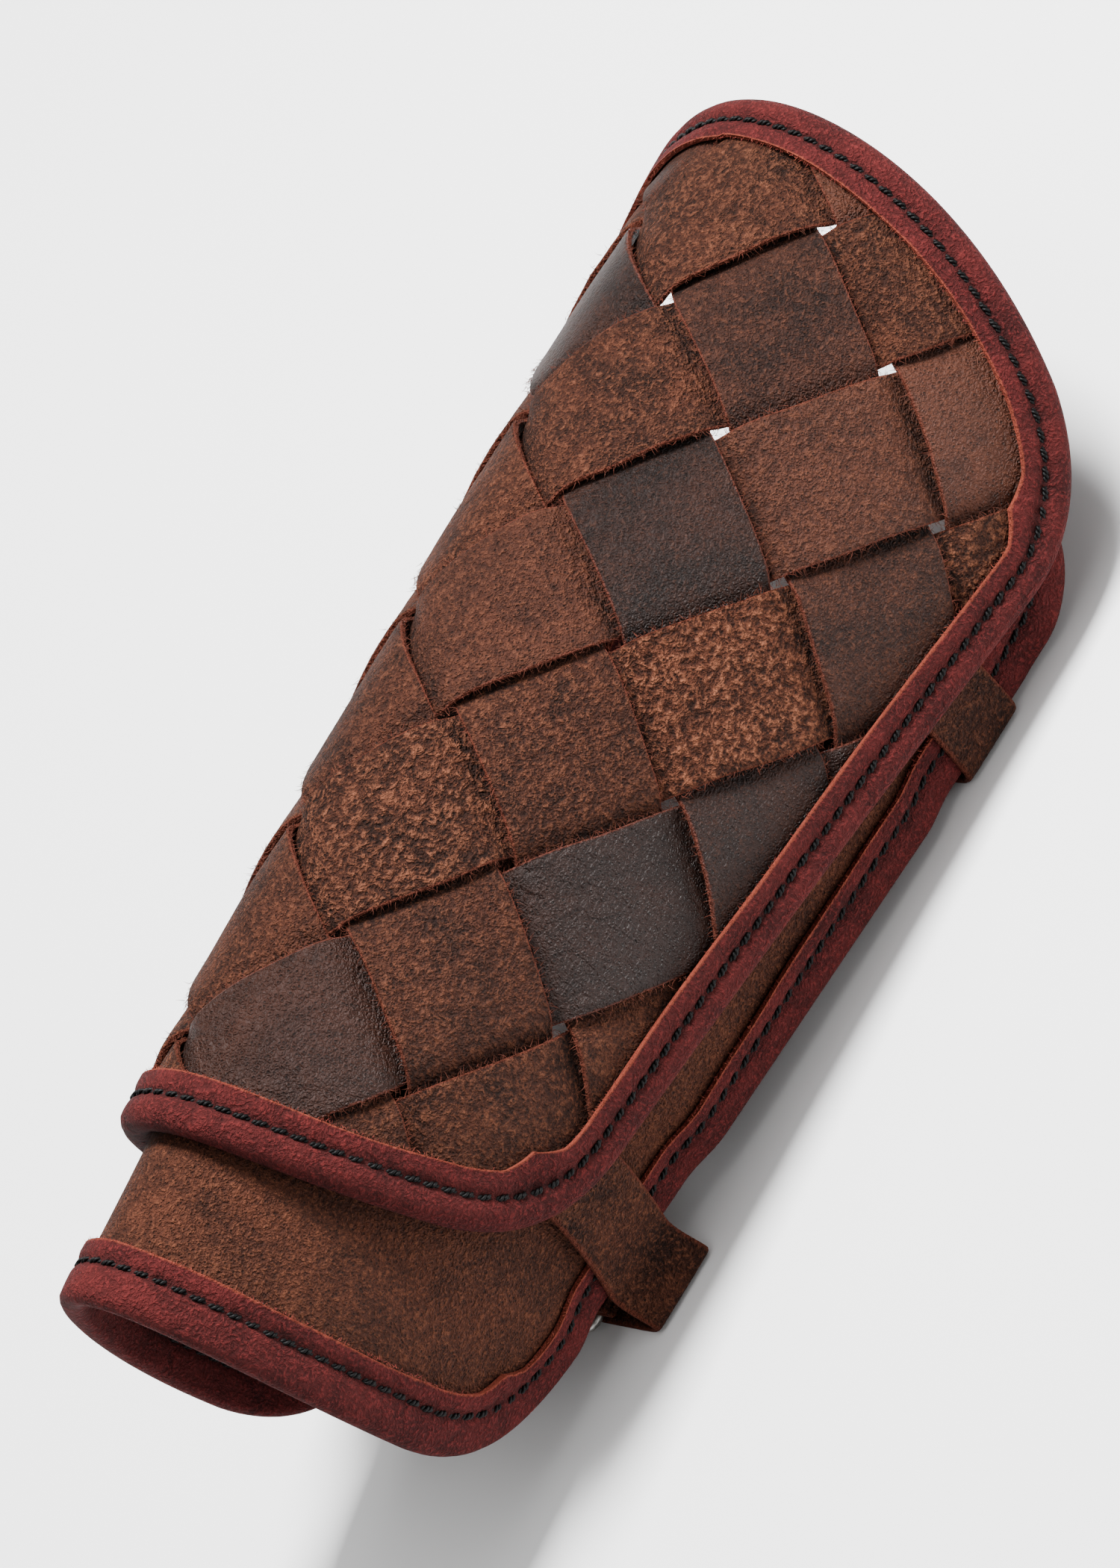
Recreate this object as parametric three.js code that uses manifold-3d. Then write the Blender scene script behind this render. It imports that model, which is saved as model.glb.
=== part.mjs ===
// Leather greave: a plaited panel in a suede frame, over a plain cuff with two side wings.
// It lies with its hollow down. +X runs from ankle to knee, +Z is up, lengths are millimetres.

import * as THREE from 'three';
import Module from 'manifold-3d';

const wasm = await Module();
wasm.setup();

// Section of the arched shell at its ankle end and its knee end. The surface turns by
// turn * tanh(s / ridge) + curl * s, in degrees, at the arc length s from the shin line.
const shell = {
  length: 360,
  ankle: { turn: 41, ridge: 21.5, curl: 0.495 },
  knee: { turn: 22.7, ridge: 23.4, curl: 0.326 },
  pitch: 4,
  steps: 24,
};

// Leather thicknesses and the play between neighbouring pieces
const leather = { strip: 2.0, base: 2.2, binding: 1.4, strap: 2.0 };
const play = { seat: 0.35, weave: 0.3, channel: 0.75, plait: 0.85, edge: 0.6, slot: 1.0 };
const foldFill = 0.4;

// Plaited strips: pitch and slope of both directions, width, and one corner of the plait
const weave = {
  risePitch: 46.5,
  riseAngle: 39.2,
  fallPitch: 44.1,
  fallAngle: 47.7,
  stripWidth: 41.5,
  cornerU: 226.6,
  cornerS: 13.8,
  split: 3,
  reach: 6,
  leastArea: 25,
};

// Cut of the panel and of the base: half widths, ends on the shin line and the bow of each end
const panel = {
  ankleHalf: 104.6,
  kneeHalf: 149.5,
  ankleEnd: 30.5,
  ankleBow: 0.0019,
  kneeEnd: 360.5,
  kneeBow: -0.0033,
  ankleCorner: 30,
  kneeCorner: 28,
  bindingWidth: 15,
};
const base = {
  ankleHalf: 152,
  kneeHalf: 159,
  ankleEnd: -17,
  ankleBow: 0.00088,
  kneeEnd: 297,
  kneeBow: 0,
  ankleCorner: 42,
  kneeCorner: 50,
  bindingWidth: 17,
  cuffDepth: 101,
  wingWidth: 35,
  closeUntil: 20,
  deepFrom: 110,
};

// Straps: place along the greave, width, slant towards the ankle, the two bend lengths of the turn
// round the free edge, how far the turn comes in, the place of the buckle bar and both tails
const straps = [
  {
    name: 'lower', u: 76, width: 25, slant: 0.1, bendOut: 9, bendIn: 16, turnIn: 2,
    tuck: 9, barY: 26, foldTail: 8, tipTail: 6,
  },
  {
    name: 'upper', u: 238, width: 23, slant: 0.1, bendOut: 2.6, bendIn: 4.6, turnIn: 5.6,
    tuck: 9, barY: 12, foldTail: 22, tipTail: 26,
  },
];
const dent = { depth: 2.4, flat: 7, slope: 15 };
const buckle = { wire: 3, length: 24, side: 5, prong: 2.2, prongRise: 2.4 };
const tipBend = { run: 3, rise: 1.2 };

const rad = THREE.MathUtils.degToRad;
const lerp = THREE.MathUtils.lerp;

// Turning angle of the section at u along the greave and arc length s from the shin line
function sectionAngle(u, s) {
  const t = u / shell.length;
  const turn = lerp(shell.ankle.turn, shell.knee.turn, t);
  const ridge = lerp(shell.ankle.ridge, shell.knee.ridge, t);
  const curl = lerp(shell.ankle.curl, shell.knee.curl, t);
  return rad(turn * Math.tanh(s / ridge) + curl * s);
}

// Run of the section from the shin line to s: sideways y and downward fall
function sectionRun(u, s) {
  let y = 0;
  let fall = 0;
  for (let i = 0; i < shell.steps; i += 1) {
    const angle = sectionAngle(u, (s * (i + 0.5)) / shell.steps);
    y += Math.cos(angle);
    fall += Math.sin(angle);
  }
  return { y: (y * s) / shell.steps, fall: (fall * s) / shell.steps };
}

function halfWidth(cut, u) {
  return lerp(cut.ankleHalf, cut.kneeHalf, u / shell.length);
}

// Point on the shell, off along its outward normal, in the resting pose. The greave stands on its
// straps, so the free edges clear the ground by one strap at the upper one, and more at the ankle.
function shellPoint(u, s, off) {
  const run = sectionRun(u, s);
  const angle = sectionAngle(u, s);
  const edge = halfWidth(base, u);
  const top = sectionRun(u, edge).fall - baseOffset(u, edge, false) * Math.cos(sectionAngle(u, edge));
  const y = run.y + off * Math.sin(angle);
  const z = top - run.fall + off * Math.cos(angle);
  const pitch = rad(shell.pitch);
  const upper = straps[straps.length - 1];
  const rise = (upper.u + upper.width / 2 - u) * Math.sin(pitch) + leather.strap + play.seat;
  return new THREE.Vector3(u * Math.cos(pitch) + z * Math.sin(pitch), y, z * Math.cos(pitch) + rise);
}

// Steps of the faceted sheets: across the shin, across the flanks, along the greave, over the width
// of a side wing, along a strap's two parts, round a corner of an outline and round a fold
const shinGap = 6;
const shinReach = 42;
const flankGap = 12;
const lineGap = 12;
const wingSteps = 2;
const strapSteps = { side: 4, turn: 8, fold: 5 };
const cornerSteps = 5;
const foldSides = 4;
const wireSides = 8;

// Stack of the layers, as offsets from the middle of the plait
const stripLift = (leather.strip + play.weave) / 2;
const panelInner = stripLift + leather.strip / 2 + play.plait;
const panelOuter = panelInner + leather.binding;
const baseInner = leather.base / 2 + play.channel;
const baseOuter = baseInner + leather.binding;

// Middle of the base under the plait: close at the shin, deeper at the sides and at each strap
function baseOffset(u, s, dented = true) {
  const close = panelOuter + play.seat + leather.base / 2;
  const side = panelOuter + play.seat + baseOuter;
  const share = THREE.MathUtils.smoothstep(Math.abs(s), base.closeUntil, base.deepFrom);
  let depth = lerp(close, side, share);
  if (dented) {
    for (const strap of straps) {
      const flat = strap.width / 2 + dent.flat;
      const away = THREE.MathUtils.smoothstep(Math.abs(u - strap.u), flat, flat + dent.slope);
      depth += dent.depth * share * (1 - away);
    }
  }
  return -depth;
}

// Outline of a cut as [u, s] points, counter-clockwise, with rounded corners and an inset
function outline(cut, inset) {
  const anklePoint = (s) => [cut.ankleEnd + cut.ankleBow * s * s, s];
  const kneePoint = (s) => [cut.kneeEnd + cut.kneeBow * s * s, s];
  const sidePoint = (u) => [u, halfWidth(cut, u)];
  const sideAt = (line) => {
    let s = cut.kneeHalf;
    for (let i = 0; i < 6; i += 1) s = halfWidth(cut, line(s)[0]);
    return s;
  };
  const ankleSide = sideAt(anklePoint);
  const kneeSide = sideAt(kneePoint);
  const half = [];
  const kneeRun = kneeSide - cut.kneeCorner;
  half.push(...sideLines(kneeRun).map(kneePoint));
  const kneeU = kneePoint(kneeSide)[0];
  half.push(...corner(kneePoint(kneeRun), kneePoint(kneeSide), sidePoint(kneeU - cut.kneeCorner)));
  const ankleU = anklePoint(ankleSide)[0];
  const from = kneeU - cut.kneeCorner;
  const to = ankleU + cut.ankleCorner;
  half.push(...crossLines(to, from).reverse().map(sidePoint), sidePoint(to));
  const ankleRun = ankleSide - cut.ankleCorner;
  half.push(...corner(sidePoint(to), anklePoint(ankleSide), anklePoint(ankleRun)));
  half.push(...sideLines(ankleRun).reverse().slice(1).map(anklePoint));
  const mirrored = half.slice(1, -1).reverse().map(([u, s]) => [u, -s]);
  const ring = half.concat(mirrored);
  return inset ? insetRing(ring, inset) : ring;
}

// Cross lines of the shell between two places, shared by sheets and bindings so that they nest
function crossLines(from, to) {
  const lines = [];
  const first = Math.ceil(from / lineGap + 0.2);
  for (let i = first; i * lineGap < to - 0.2 * lineGap; i += 1) lines.push(i * lineGap);
  return lines;
}

// Arc lengths from the shin line out to a run, closer together over the shin
function sideLines(run) {
  const lines = [];
  for (let s = 0; s < shinReach; s += shinGap) lines.push(s);
  const count = Math.ceil((run - shinReach) / flankGap);
  for (let i = 0; i <= count; i += 1) lines.push(lerp(shinReach, run, i / count));
  return lines;
}

// Points of a rounded corner between two points, without the first
function corner(start, tip, end) {
  const points = [];
  for (let i = 1; i <= cornerSteps; i += 1) {
    const t = i / cornerSteps;
    const a = (1 - t) * (1 - t);
    const b = 2 * t * (1 - t);
    const c = t * t;
    points.push([a * start[0] + b * tip[0] + c * end[0], a * start[1] + b * tip[1] + c * end[1]]);
  }
  return points;
}

// Inward normal at each point of a closed ring
function ringNormals(ring) {
  return ring.map((point, i) => {
    const before = ring[(i + ring.length - 1) % ring.length];
    const after = ring[(i + 1) % ring.length];
    const du = after[0] - before[0];
    const ds = after[1] - before[1];
    const size = Math.hypot(du, ds);
    return [-ds / size, du / size];
  });
}

// Ring moved in by a distance
function insetRing(ring, inset) {
  const normals = ringNormals(ring);
  const sign = insideSign(ring, normals);
  return ring.map(([u, s], i) => [u + sign * inset * normals[i][0], s + sign * inset * normals[i][1]]);
}

// 1 when the normals point to the middle of the ring, and -1 when they point away
function insideSign(ring, normals) {
  const middle = ring.reduce((sum, [u]) => sum + u, 0) / ring.length;
  return (middle - ring[0][0]) * normals[0][0] > 0 ? 1 : -1;
}

// Part of a convex polygon that lies inside a convex ring
function clip(polygon, ring) {
  const middle = ring.reduce((sum, [u]) => sum + u, 0) / ring.length;
  let points = polygon;
  for (let i = 0; i < ring.length; i += 1) {
    const a = ring[i];
    const b = ring[(i + 1) % ring.length];
    const side = (p) => (b[0] - a[0]) * (p[1] - a[1]) - (b[1] - a[1]) * (p[0] - a[0]);
    const keep = Math.sign(side([middle, 0]));
    const next = [];
    for (let k = 0; k < points.length; k += 1) {
      const p = points[k];
      const q = points[(k + 1) % points.length];
      const dp = keep * side(p);
      const dq = keep * side(q);
      if (dp >= 0) next.push(p);
      if ((dp > 0 && dq < 0) || (dp < 0 && dq > 0)) {
        const t = dp / (dp - dq);
        next.push([lerp(p[0], q[0], t), lerp(p[1], q[1], t)]);
      }
    }
    points = next;
    if (points.length < 3) return [];
  }
  return points;
}

function polygonArea(points) {
  let sum = 0;
  points.forEach((p, i) => {
    const q = points[(i + 1) % points.length];
    sum += p[0] * q[1] - p[1] * q[0];
  });
  return sum / 2;
}

// Order of a polygon's points whose fan runs along the shell rather than round it
function straightFan(ids, flat) {
  let best = ids;
  let least = Infinity;
  ids.forEach((id, start) => {
    const turned = [...ids.slice(start), ...ids.slice(0, start)];
    const spans = turned.slice(2, -1).map((other) => Math.abs(flat[other][1] - flat[id][1]));
    const widest = Math.max(0, ...spans);
    if (widest < least - 1e-6) {
      least = widest;
      best = turned;
    }
  });
  return best;
}

// Closed sheet over flat polygons: place(point, side) gives its two faces for side 1 and -1
function sheetGeometry(polygons, place) {
  const index = new Map();
  const flat = [];
  const faces = [];
  const least = 0.05;
  for (const polygon of polygons) {
    const ids = [];
    for (const point of polygon) {
      const key = `${Math.round(point[0] / least)},${Math.round(point[1] / least)}`;
      if (!index.has(key)) {
        index.set(key, flat.length);
        flat.push(point);
      }
      const id = index.get(key);
      if (ids[ids.length - 1] !== id && ids[0] !== id) ids.push(id);
    }
    if (ids.length < 3) continue;
    if (polygonArea(ids.map((id) => flat[id])) < 0) ids.reverse();
    const fan = straightFan(ids, flat);
    for (let i = 1; i < fan.length - 1; i += 1) {
      const face = [fan[0], fan[i], fan[i + 1]];
      if (Math.abs(polygonArea(face.map((id) => flat[id]))) > 1e-4) faces.push(face);
    }
  }
  const open = new Map();
  for (const face of faces) {
    face.forEach((a, i) => {
      const b = face[(i + 1) % 3];
      if (open.has(`${b},${a}`)) open.delete(`${b},${a}`);
      else open.set(`${a},${b}`, [a, b]);
    });
  }
  const count = flat.length;
  const vertices = [...flat.map((p) => place(p, 1)), ...flat.map((p) => place(p, -1))];
  const triangles = [];
  for (const [a, b, c] of faces) triangles.push([a, b, c], [c + count, b + count, a + count]);
  for (const [a, b] of open.values()) triangles.push([b, a, a + count], [b, a + count, b + count]);
  return meshGeometry(vertices, triangles);
}

// Closed loft of rings with the same number of points, open or closed along its path
function loftGeometry(rings, closed) {
  const size = rings[0].length;
  const vertices = rings.flat();
  const triangles = [];
  const last = closed ? rings.length : rings.length - 1;
  for (let i = 0; i < last; i += 1) {
    const here = i * size;
    const there = ((i + 1) % rings.length) * size;
    for (let k = 0; k < size; k += 1) {
      const next = (k + 1) % size;
      triangles.push([here + k, here + next, there + next], [here + k, there + next, there + k]);
    }
  }
  if (!closed) {
    const end = (rings.length - 1) * size;
    for (const [a, b, c] of capFaces(rings[0])) triangles.push([a, c, b]);
    for (const [a, b, c] of capFaces(rings[rings.length - 1])) triangles.push([end + a, end + b, end + c]);
  }
  return meshGeometry(vertices, triangles);
}

// Triangles that close the end of a loft, from the ring's shape in its own plane
function capFaces(ring) {
  const normal = new THREE.Vector3();
  ring.forEach((point, i) => {
    normal.add(new THREE.Vector3().crossVectors(point, ring[(i + 1) % ring.length]));
  });
  const across = ring[1].clone().sub(ring[0]).normalize();
  const up = new THREE.Vector3().crossVectors(normal.normalize(), across);
  const flat = ring.map((point) => new THREE.Vector2(point.dot(across), point.dot(up)));
  return THREE.ShapeUtils.triangulateShape(flat, []);
}

// Geometry from points and triangles, turned so that its faces point out
function meshGeometry(vertices, triangles) {
  let volume = 0;
  for (const [a, b, c] of triangles) {
    volume += vertices[a].dot(new THREE.Vector3().crossVectors(vertices[b], vertices[c]));
  }
  const flat = volume > 0 ? triangles.flat() : triangles.flatMap(([a, b, c]) => [a, c, b]);
  const geometry = new THREE.BufferGeometry();
  const position = new Float32Array(vertices.flatMap((v) => v.toArray()));
  geometry.setAttribute('position', new THREE.BufferAttribute(position, 3));
  geometry.setIndex(flat);
  geometry.computeVertexNormals();
  return geometry;
}

// Plaited strips, as a share of the plait's pitch along each direction
const rise = [
  weave.risePitch * Math.cos(rad(weave.riseAngle)),
  weave.risePitch * Math.sin(rad(weave.riseAngle)),
];
const fall = [
  -weave.fallPitch * Math.cos(rad(weave.fallAngle)),
  weave.fallPitch * Math.sin(rad(weave.fallAngle)),
];

function plaitToShell(p, q) {
  return [weave.cornerU + p * rise[0] + q * fall[0], weave.cornerS + p * rise[1] + q * fall[1]];
}

function shellToPlait([u, s]) {
  const du = u - weave.cornerU;
  const ds = s - weave.cornerS;
  const area = rise[0] * fall[1] - rise[1] * fall[0];
  return [(du * fall[1] - ds * fall[0]) / area, (ds * rise[0] - du * rise[1]) / area];
}

// Cuts along a strip: the cells are split evenly, with one short step between two cells
function cellCuts(half) {
  const cuts = [];
  for (let cell = -weave.reach; cell <= weave.reach; cell += 1) {
    for (let i = 0; i <= weave.split; i += 1) cuts.push(cell + 0.5 + half * (-1 + (2 * i) / weave.split));
  }
  return cuts;
}

// Lift of a strip at a place along it: up in one cell, down in the next
function plaitLift(along, across, half, rising) {
  const cell = Math.floor(along);
  const level = (c) => ((((c + across) % 2) + 2) % 2 === (rising ? 1 : 0) ? stripLift : -stripLift);
  const offset = along - cell - 0.5;
  if (Math.abs(offset) <= half) return level(cell);
  const neighbour = offset > 0 ? cell + 1 : cell - 1;
  const share = (Math.abs(offset) - half) / (1 - 2 * half);
  return lerp(level(cell), level(neighbour), share);
}

function stripGeometry(across, rising, ring) {
  const halfAcross = weave.stripWidth / (2 * (rising ? weave.fallPitch : weave.risePitch));
  const halfAlong = weave.stripWidth / (2 * (rising ? weave.risePitch : weave.fallPitch));
  const cuts = cellCuts(halfAlong);
  const sides = [];
  for (let i = 0; i <= weave.split; i += 1) {
    sides.push(across + 0.5 + halfAcross * (-1 + (2 * i) / weave.split));
  }
  const polygons = [];
  let area = 0;
  for (let i = 0; i < cuts.length - 1; i += 1) {
    for (let k = 0; k < weave.split; k += 1) {
      const alongCuts = [cuts[i], cuts[i + 1]];
      const sideCuts = [sides[k], sides[k + 1]];
      const [p, q] = rising ? [alongCuts, sideCuts] : [sideCuts, alongCuts];
      const cell = [[p[0], q[1]], [p[0], q[0]], [p[1], q[0]], [p[1], q[1]]];
      const kept = clip(cell.map((place) => plaitToShell(...place)), ring);
      if (kept.length > 2) polygons.push(kept);
      area += Math.abs(polygonArea(kept));
    }
  }
  if (area < weave.leastArea) return null;
  return sheetGeometry(polygons, (point, side) => {
    const [p, q] = shellToPlait(point);
    const lift = plaitLift(rising ? p : q, across, halfAlong, rising);
    return shellPoint(point[0], point[1], lift + (side * leather.strip) / 2);
  });
}

// How far in from its outer edge a binding's channel ends, short of the round of its fold
function channelEnd(inner, outer) {
  return outer - foldFill * inner;
}

// Section of a folded binding as [distance from its outer edge, offset], round its outer face first
function bindingSection(width, inner, outer) {
  const points = [[width, outer]];
  for (let i = 0; i <= foldSides; i += 1) {
    const angle = (Math.PI * i) / foldSides;
    points.push([outer - outer * Math.sin(angle), outer * Math.cos(angle)]);
  }
  const end = channelEnd(inner, outer);
  points.push([width, -outer], [width, -inner], [end, -inner], [end, inner], [width, inner]);
  return points;
}

// Binding along a run of outline points; offsetAt gives the middle of the sheet that it holds
function bindingGeometry(ring, section, offsetAt, closed, keep) {
  const normals = ringNormals(ring);
  const sign = insideSign(ring, normals);
  const rings = [];
  ring.forEach(([u, s], i) => {
    if (!keep([u, s])) return;
    rings.push(section.map(([inward, off]) => {
      const pu = u + sign * inward * normals[i][0];
      const ps = s + sign * inward * normals[i][1];
      return shellPoint(pu, ps, offsetAt(pu, ps) + off);
    }));
  });
  return loftGeometry(rings, closed);
}

const panelRing = outline(panel, 0);
const stripRing = outline(panel, channelEnd(panelInner, panelOuter) + play.edge);
const baseRing = outline(base, 0);
const sheetRing = outline(base, channelEnd(baseInner, baseOuter) + play.edge);

// Base sheet: a grid that follows its free edges, with the window behind the plait left out
function baseGeometry() {
  const cuffEnd = lineGap * Math.round((base.ankleEnd + base.cuffDepth) / lineGap);
  const uLines = [base.ankleEnd, ...crossLines(base.ankleEnd, base.kneeEnd), base.kneeEnd];
  const half = sideLines(base.ankleHalf - base.wingWidth).map((s) => s / base.ankleHalf);
  const wingEdge = half.length - 1;
  for (let i = 1; i <= wingSteps; i += 1) half.push(lerp(half[wingEdge], 1, i / wingSteps));
  const shares = [...half.slice(1).reverse().map((share) => -share), ...half];
  const polygons = [];
  for (let i = 0; i < uLines.length - 1; i += 1) {
    const inWindow = uLines[i] >= cuffEnd - 0.1;
    for (let k = 0; k < shares.length - 1; k += 1) {
      if (inWindow && k >= wingSteps && k < shares.length - 1 - wingSteps) continue;
      const at = (a, b) => [uLines[a], shares[b] * halfWidth(base, uLines[a])];
      const kept = clip([at(i, k), at(i + 1, k), at(i + 1, k + 1), at(i, k + 1)], sheetRing);
      if (kept.length > 2) polygons.push(kept);
    }
  }
  return sheetGeometry(polygons, ([u, s], side) => (
    shellPoint(u, s, baseOffset(u, s) + (side * leather.base) / 2)
  ));
}

// One long edge of a strap: along is 1 for its knee side and -1 for its ankle side. Each point has
// the middle of the strap's thickness and the direction of its outer face, drawn on the near side.
function strapEdge(strap, along, inward) {
  const ride = baseOuter + play.seat + leather.strap / 2;
  const startU = strap.u + (along * strap.width) / 2;
  const from = halfWidth(panel, strap.u) - strap.tuck;
  const to = halfWidth(base, startU) - baseOuter;
  const points = [];
  for (let i = 0; i <= strapSteps.side; i += 1) {
    const s = lerp(from, to, i / strapSteps.side);
    const u = startU - strap.slant * (s - from);
    points.push(shellPoint(u, s, baseOffset(u, s) + ride));
  }
  const start = points[points.length - 1];
  const heading = start.clone().sub(points[points.length - 2]).normalize();
  const low = leather.strap / 2;
  const end = new THREE.Vector3(start.x - strap.slant * start.z, start.y - strap.turnIn, low);
  const turn = new THREE.CubicBezierCurve3(
    start,
    start.clone().addScaledVector(heading, strap.bendOut),
    end.clone().add(new THREE.Vector3(0, strap.bendIn, 0)),
    end,
  );
  points.push(...turn.getPoints(strapSteps.turn).slice(1));
  for (const [y, z] of inward) points.push(new THREE.Vector3(end.x, y, z));
  return points.map((middle, i) => {
    const before = points[Math.max(i - 1, 0)];
    const after = points[Math.min(i + 1, points.length - 1)];
    const out = new THREE.Vector3(0, before.z - after.z, after.y - before.y).normalize();
    return { middle, out };
  });
}

// Strap as a closed ribbon between its two long edges, on the near side (1) or the far side (-1)
function strapSolid(strap, inward, side) {
  const ankle = strapEdge(strap, -1, inward);
  const knee = strapEdge(strap, 1, inward);
  const place = ({ middle, out }, face) => {
    const point = middle.clone().addScaledVector(out, (face * leather.strap) / 2);
    return new THREE.Vector3(point.x, side * point.y, point.z);
  };
  const rings = knee.map((point, i) => [
    place(point, 1), place(ankle[i], 1), place(ankle[i], -1), place(point, -1),
  ]);
  return solidOf(loftGeometry(rings, false));
}

// Heights of the pieces stacked at a buckle, above the ground
const barMiddle = leather.strap + play.seat + buckle.wire / 2;
const foldTop = barMiddle + buckle.wire / 2 + play.seat + leather.strap / 2;
const tipLevel = foldTop + leather.strap + play.seat;

// Way of the near strap under the bar, round it and back over itself
function foldPath(strap) {
  const radius = (foldTop - leather.strap / 2) / 2;
  const barMid = strap.barY - buckle.wire / 2;
  const path = [[barMid, leather.strap / 2]];
  for (let i = 1; i <= strapSteps.fold; i += 1) {
    const angle = (Math.PI * i) / strapSteps.fold;
    path.push([barMid - radius * Math.sin(angle), leather.strap / 2 + radius * (1 - Math.cos(angle))]);
  }
  path.push([barMid + strap.foldTail, foldTop]);
  return path;
}

// Way of the far strap under the front bar, up through the frame and on over the fold
function tipPath(strap) {
  const front = strap.barY - buckle.length + buckle.wire;
  const over = strap.barY - buckle.wire - play.seat - leather.strap * 2;
  const { run, rise: lift } = tipBend;
  const path = [
    [front + run / 3, leather.strap / 2],
    [front + (4 * run) / 3, leather.strap / 2 + lift],
    [over - run, tipLevel - lift],
    [over, tipLevel],
    [strap.barY + strap.tipTail, tipLevel],
  ];
  return path.map(([y, z]) => [-y, z]);
}

// Rectangular metal frame with its prong, both one plain piece
function buckleSolid(strap, x) {
  const { wire } = buckle;
  const bar = (from, to) => {
    const run = new THREE.Vector3(to[0] - from[0], to[1] - from[1], 0);
    const rod = new THREE.CylinderGeometry(wire / 2, wire / 2, run.length() + wire, wireSides);
    rod.applyQuaternion(new THREE.Quaternion().setFromUnitVectors(
      new THREE.Vector3(0, 1, 0),
      run.normalize(),
    ));
    rod.translate(x + (from[0] + to[0]) / 2, (from[1] + to[1]) / 2, barMiddle);
    return solidOf(rod);
  };
  const near = strap.barY - wire / 2;
  const front = near - buckle.length + wire;
  const half = strap.width / 2 + buckle.side - wire / 2;
  let frame = bar([-half, near], [half, near]);
  frame = frame.add(bar([-half, front], [half, front]));
  frame = frame.add(bar([-half, front], [-half, near]));
  frame = frame.add(bar([half, front], [half, near]));
  const prong = new THREE.BoxGeometry(buckle.prong, buckle.length, buckle.prong);
  prong.rotateX(-Math.atan2(buckle.prongRise, buckle.length));
  prong.translate(x, strap.barY - wire / 2 - buckle.length / 2, barMiddle + buckle.prongRise / 2);
  return frame.add(solidOf(prong));
}

// Slot for the prong in a strap, from one place across the back to another
function slotSolid(x, from, to) {
  const top = tipLevel + leather.strap;
  const box = new THREE.BoxGeometry(buckle.prong + 2 * play.slot, to - from, top);
  box.translate(x, (from + to) / 2, leather.strap + play.seat + top / 2);
  return solidOf(box);
}

const materials = {
  leather: () => new THREE.MeshStandardMaterial({ color: 0x553a2d, roughness: 0.85, metalness: 0 }),
  suede: () => new THREE.MeshStandardMaterial({ color: 0x693030, roughness: 0.95, metalness: 0 }),
  metal: () => new THREE.MeshStandardMaterial({ color: 0x9a9a9a, roughness: 0.35, metalness: 1 }),
};

const greave = new THREE.Group();

// Adds a named piece to the greave. Pieces are drawn with the buckled side at +y and turned over
// here, because this greave has it at -Y.
function addPiece(name, geometry, material) {
  geometry.scale(1, -1, 1);
  geometry.setIndex(new THREE.BufferAttribute(new Uint32Array(geometry.getIndex().array).reverse(), 1));
  geometry.computeVertexNormals();
  const mesh = new THREE.Mesh(geometry, materials[material]());
  mesh.name = name;
  greave.add(mesh);
}

function addStrips() {
  for (const rising of [true, false]) {
    let number = 1;
    for (let across = -weave.reach; across < weave.reach; across += 1) {
      const geometry = stripGeometry(across, rising, stripRing);
      if (geometry) {
        addPiece(`strip_${rising ? 'rise' : 'fall'}_${number}`, geometry, 'leather');
        number += 1;
      }
    }
  }
}

function addBindings() {
  const panelSection = bindingSection(panel.bindingWidth, panelInner, panelOuter);
  addPiece('panel_binding', bindingGeometry(panelRing, panelSection, () => 0, true, () => true), 'suede');
  const baseSection = bindingSection(base.bindingWidth, baseInner, baseOuter);
  const windowHalf = (u) => halfWidth(base, u) - base.wingWidth;
  const kept = ([u, s]) => u < base.kneeEnd - play.slot || Math.abs(s) > windowHalf(u);
  const start = baseRing.findIndex((point) => kept(point));
  const turned = [...baseRing.slice(start), ...baseRing.slice(0, start)];
  addPiece('base_binding', bindingGeometry(turned, baseSection, baseOffset, false, kept), 'suede');
}

// Solid of a closed geometry, its points merged
function solidOf(geometry) {
  const bare = geometry.toNonIndexed();
  const position = bare.getAttribute('position');
  const keys = new Map();
  const points = [];
  const triangles = [];
  for (let i = 0; i < position.count; i += 1) {
    const point = [position.getX(i), position.getY(i), position.getZ(i)];
    const key = point.map((value) => value.toFixed(4)).join();
    if (!keys.has(key)) {
      keys.set(key, points.length / 3);
      points.push(...point);
    }
    triangles.push(keys.get(key));
  }
  const mesh = new wasm.Mesh({
    numProp: 3,
    vertProperties: new Float32Array(points),
    triVerts: new Uint32Array(triangles),
  });
  return new wasm.Manifold(mesh);
}

// Geometry of a solid
function geometryOf(solid) {
  const mesh = solid.getMesh();
  const geometry = new THREE.BufferGeometry();
  geometry.setAttribute('position', new THREE.BufferAttribute(new Float32Array(mesh.vertProperties), 3));
  geometry.setIndex(new THREE.BufferAttribute(new Uint32Array(mesh.triVerts), 1));
  geometry.computeVertexNormals();
  return geometry;
}

function addStraps() {
  for (const strap of straps) {
    const near = strapSolid(strap, foldPath(strap), 1);
    const edges = [-1, 1].map((along) => strapEdge(strap, along, foldPath(strap)));
    const x = (edges[0][edges[0].length - 1].middle.x + edges[1][edges[1].length - 1].middle.x) / 2;
    const far = strapSolid(strap, tipPath(strap), -1);
    const foldFront = strap.barY - buckle.wire - play.seat - leather.strap - play.slot;
    const nearSlot = slotSolid(x, foldFront, strap.barY - buckle.wire / 2);
    const farSlot = slotSolid(x, strap.barY - buckle.length + buckle.wire, foldFront);
    addPiece(`strap_${strap.name}_buckled`, geometryOf(near.subtract(nearSlot)), 'leather');
    addPiece(`strap_${strap.name}_billet`, geometryOf(far.subtract(farSlot)), 'leather');
    addPiece(`buckle_${strap.name}`, geometryOf(buckleSolid(strap, x)), 'metal');
  }
}

addPiece('base_shell', baseGeometry(), 'leather');
addStrips();
addBindings();
addStraps();

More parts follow.
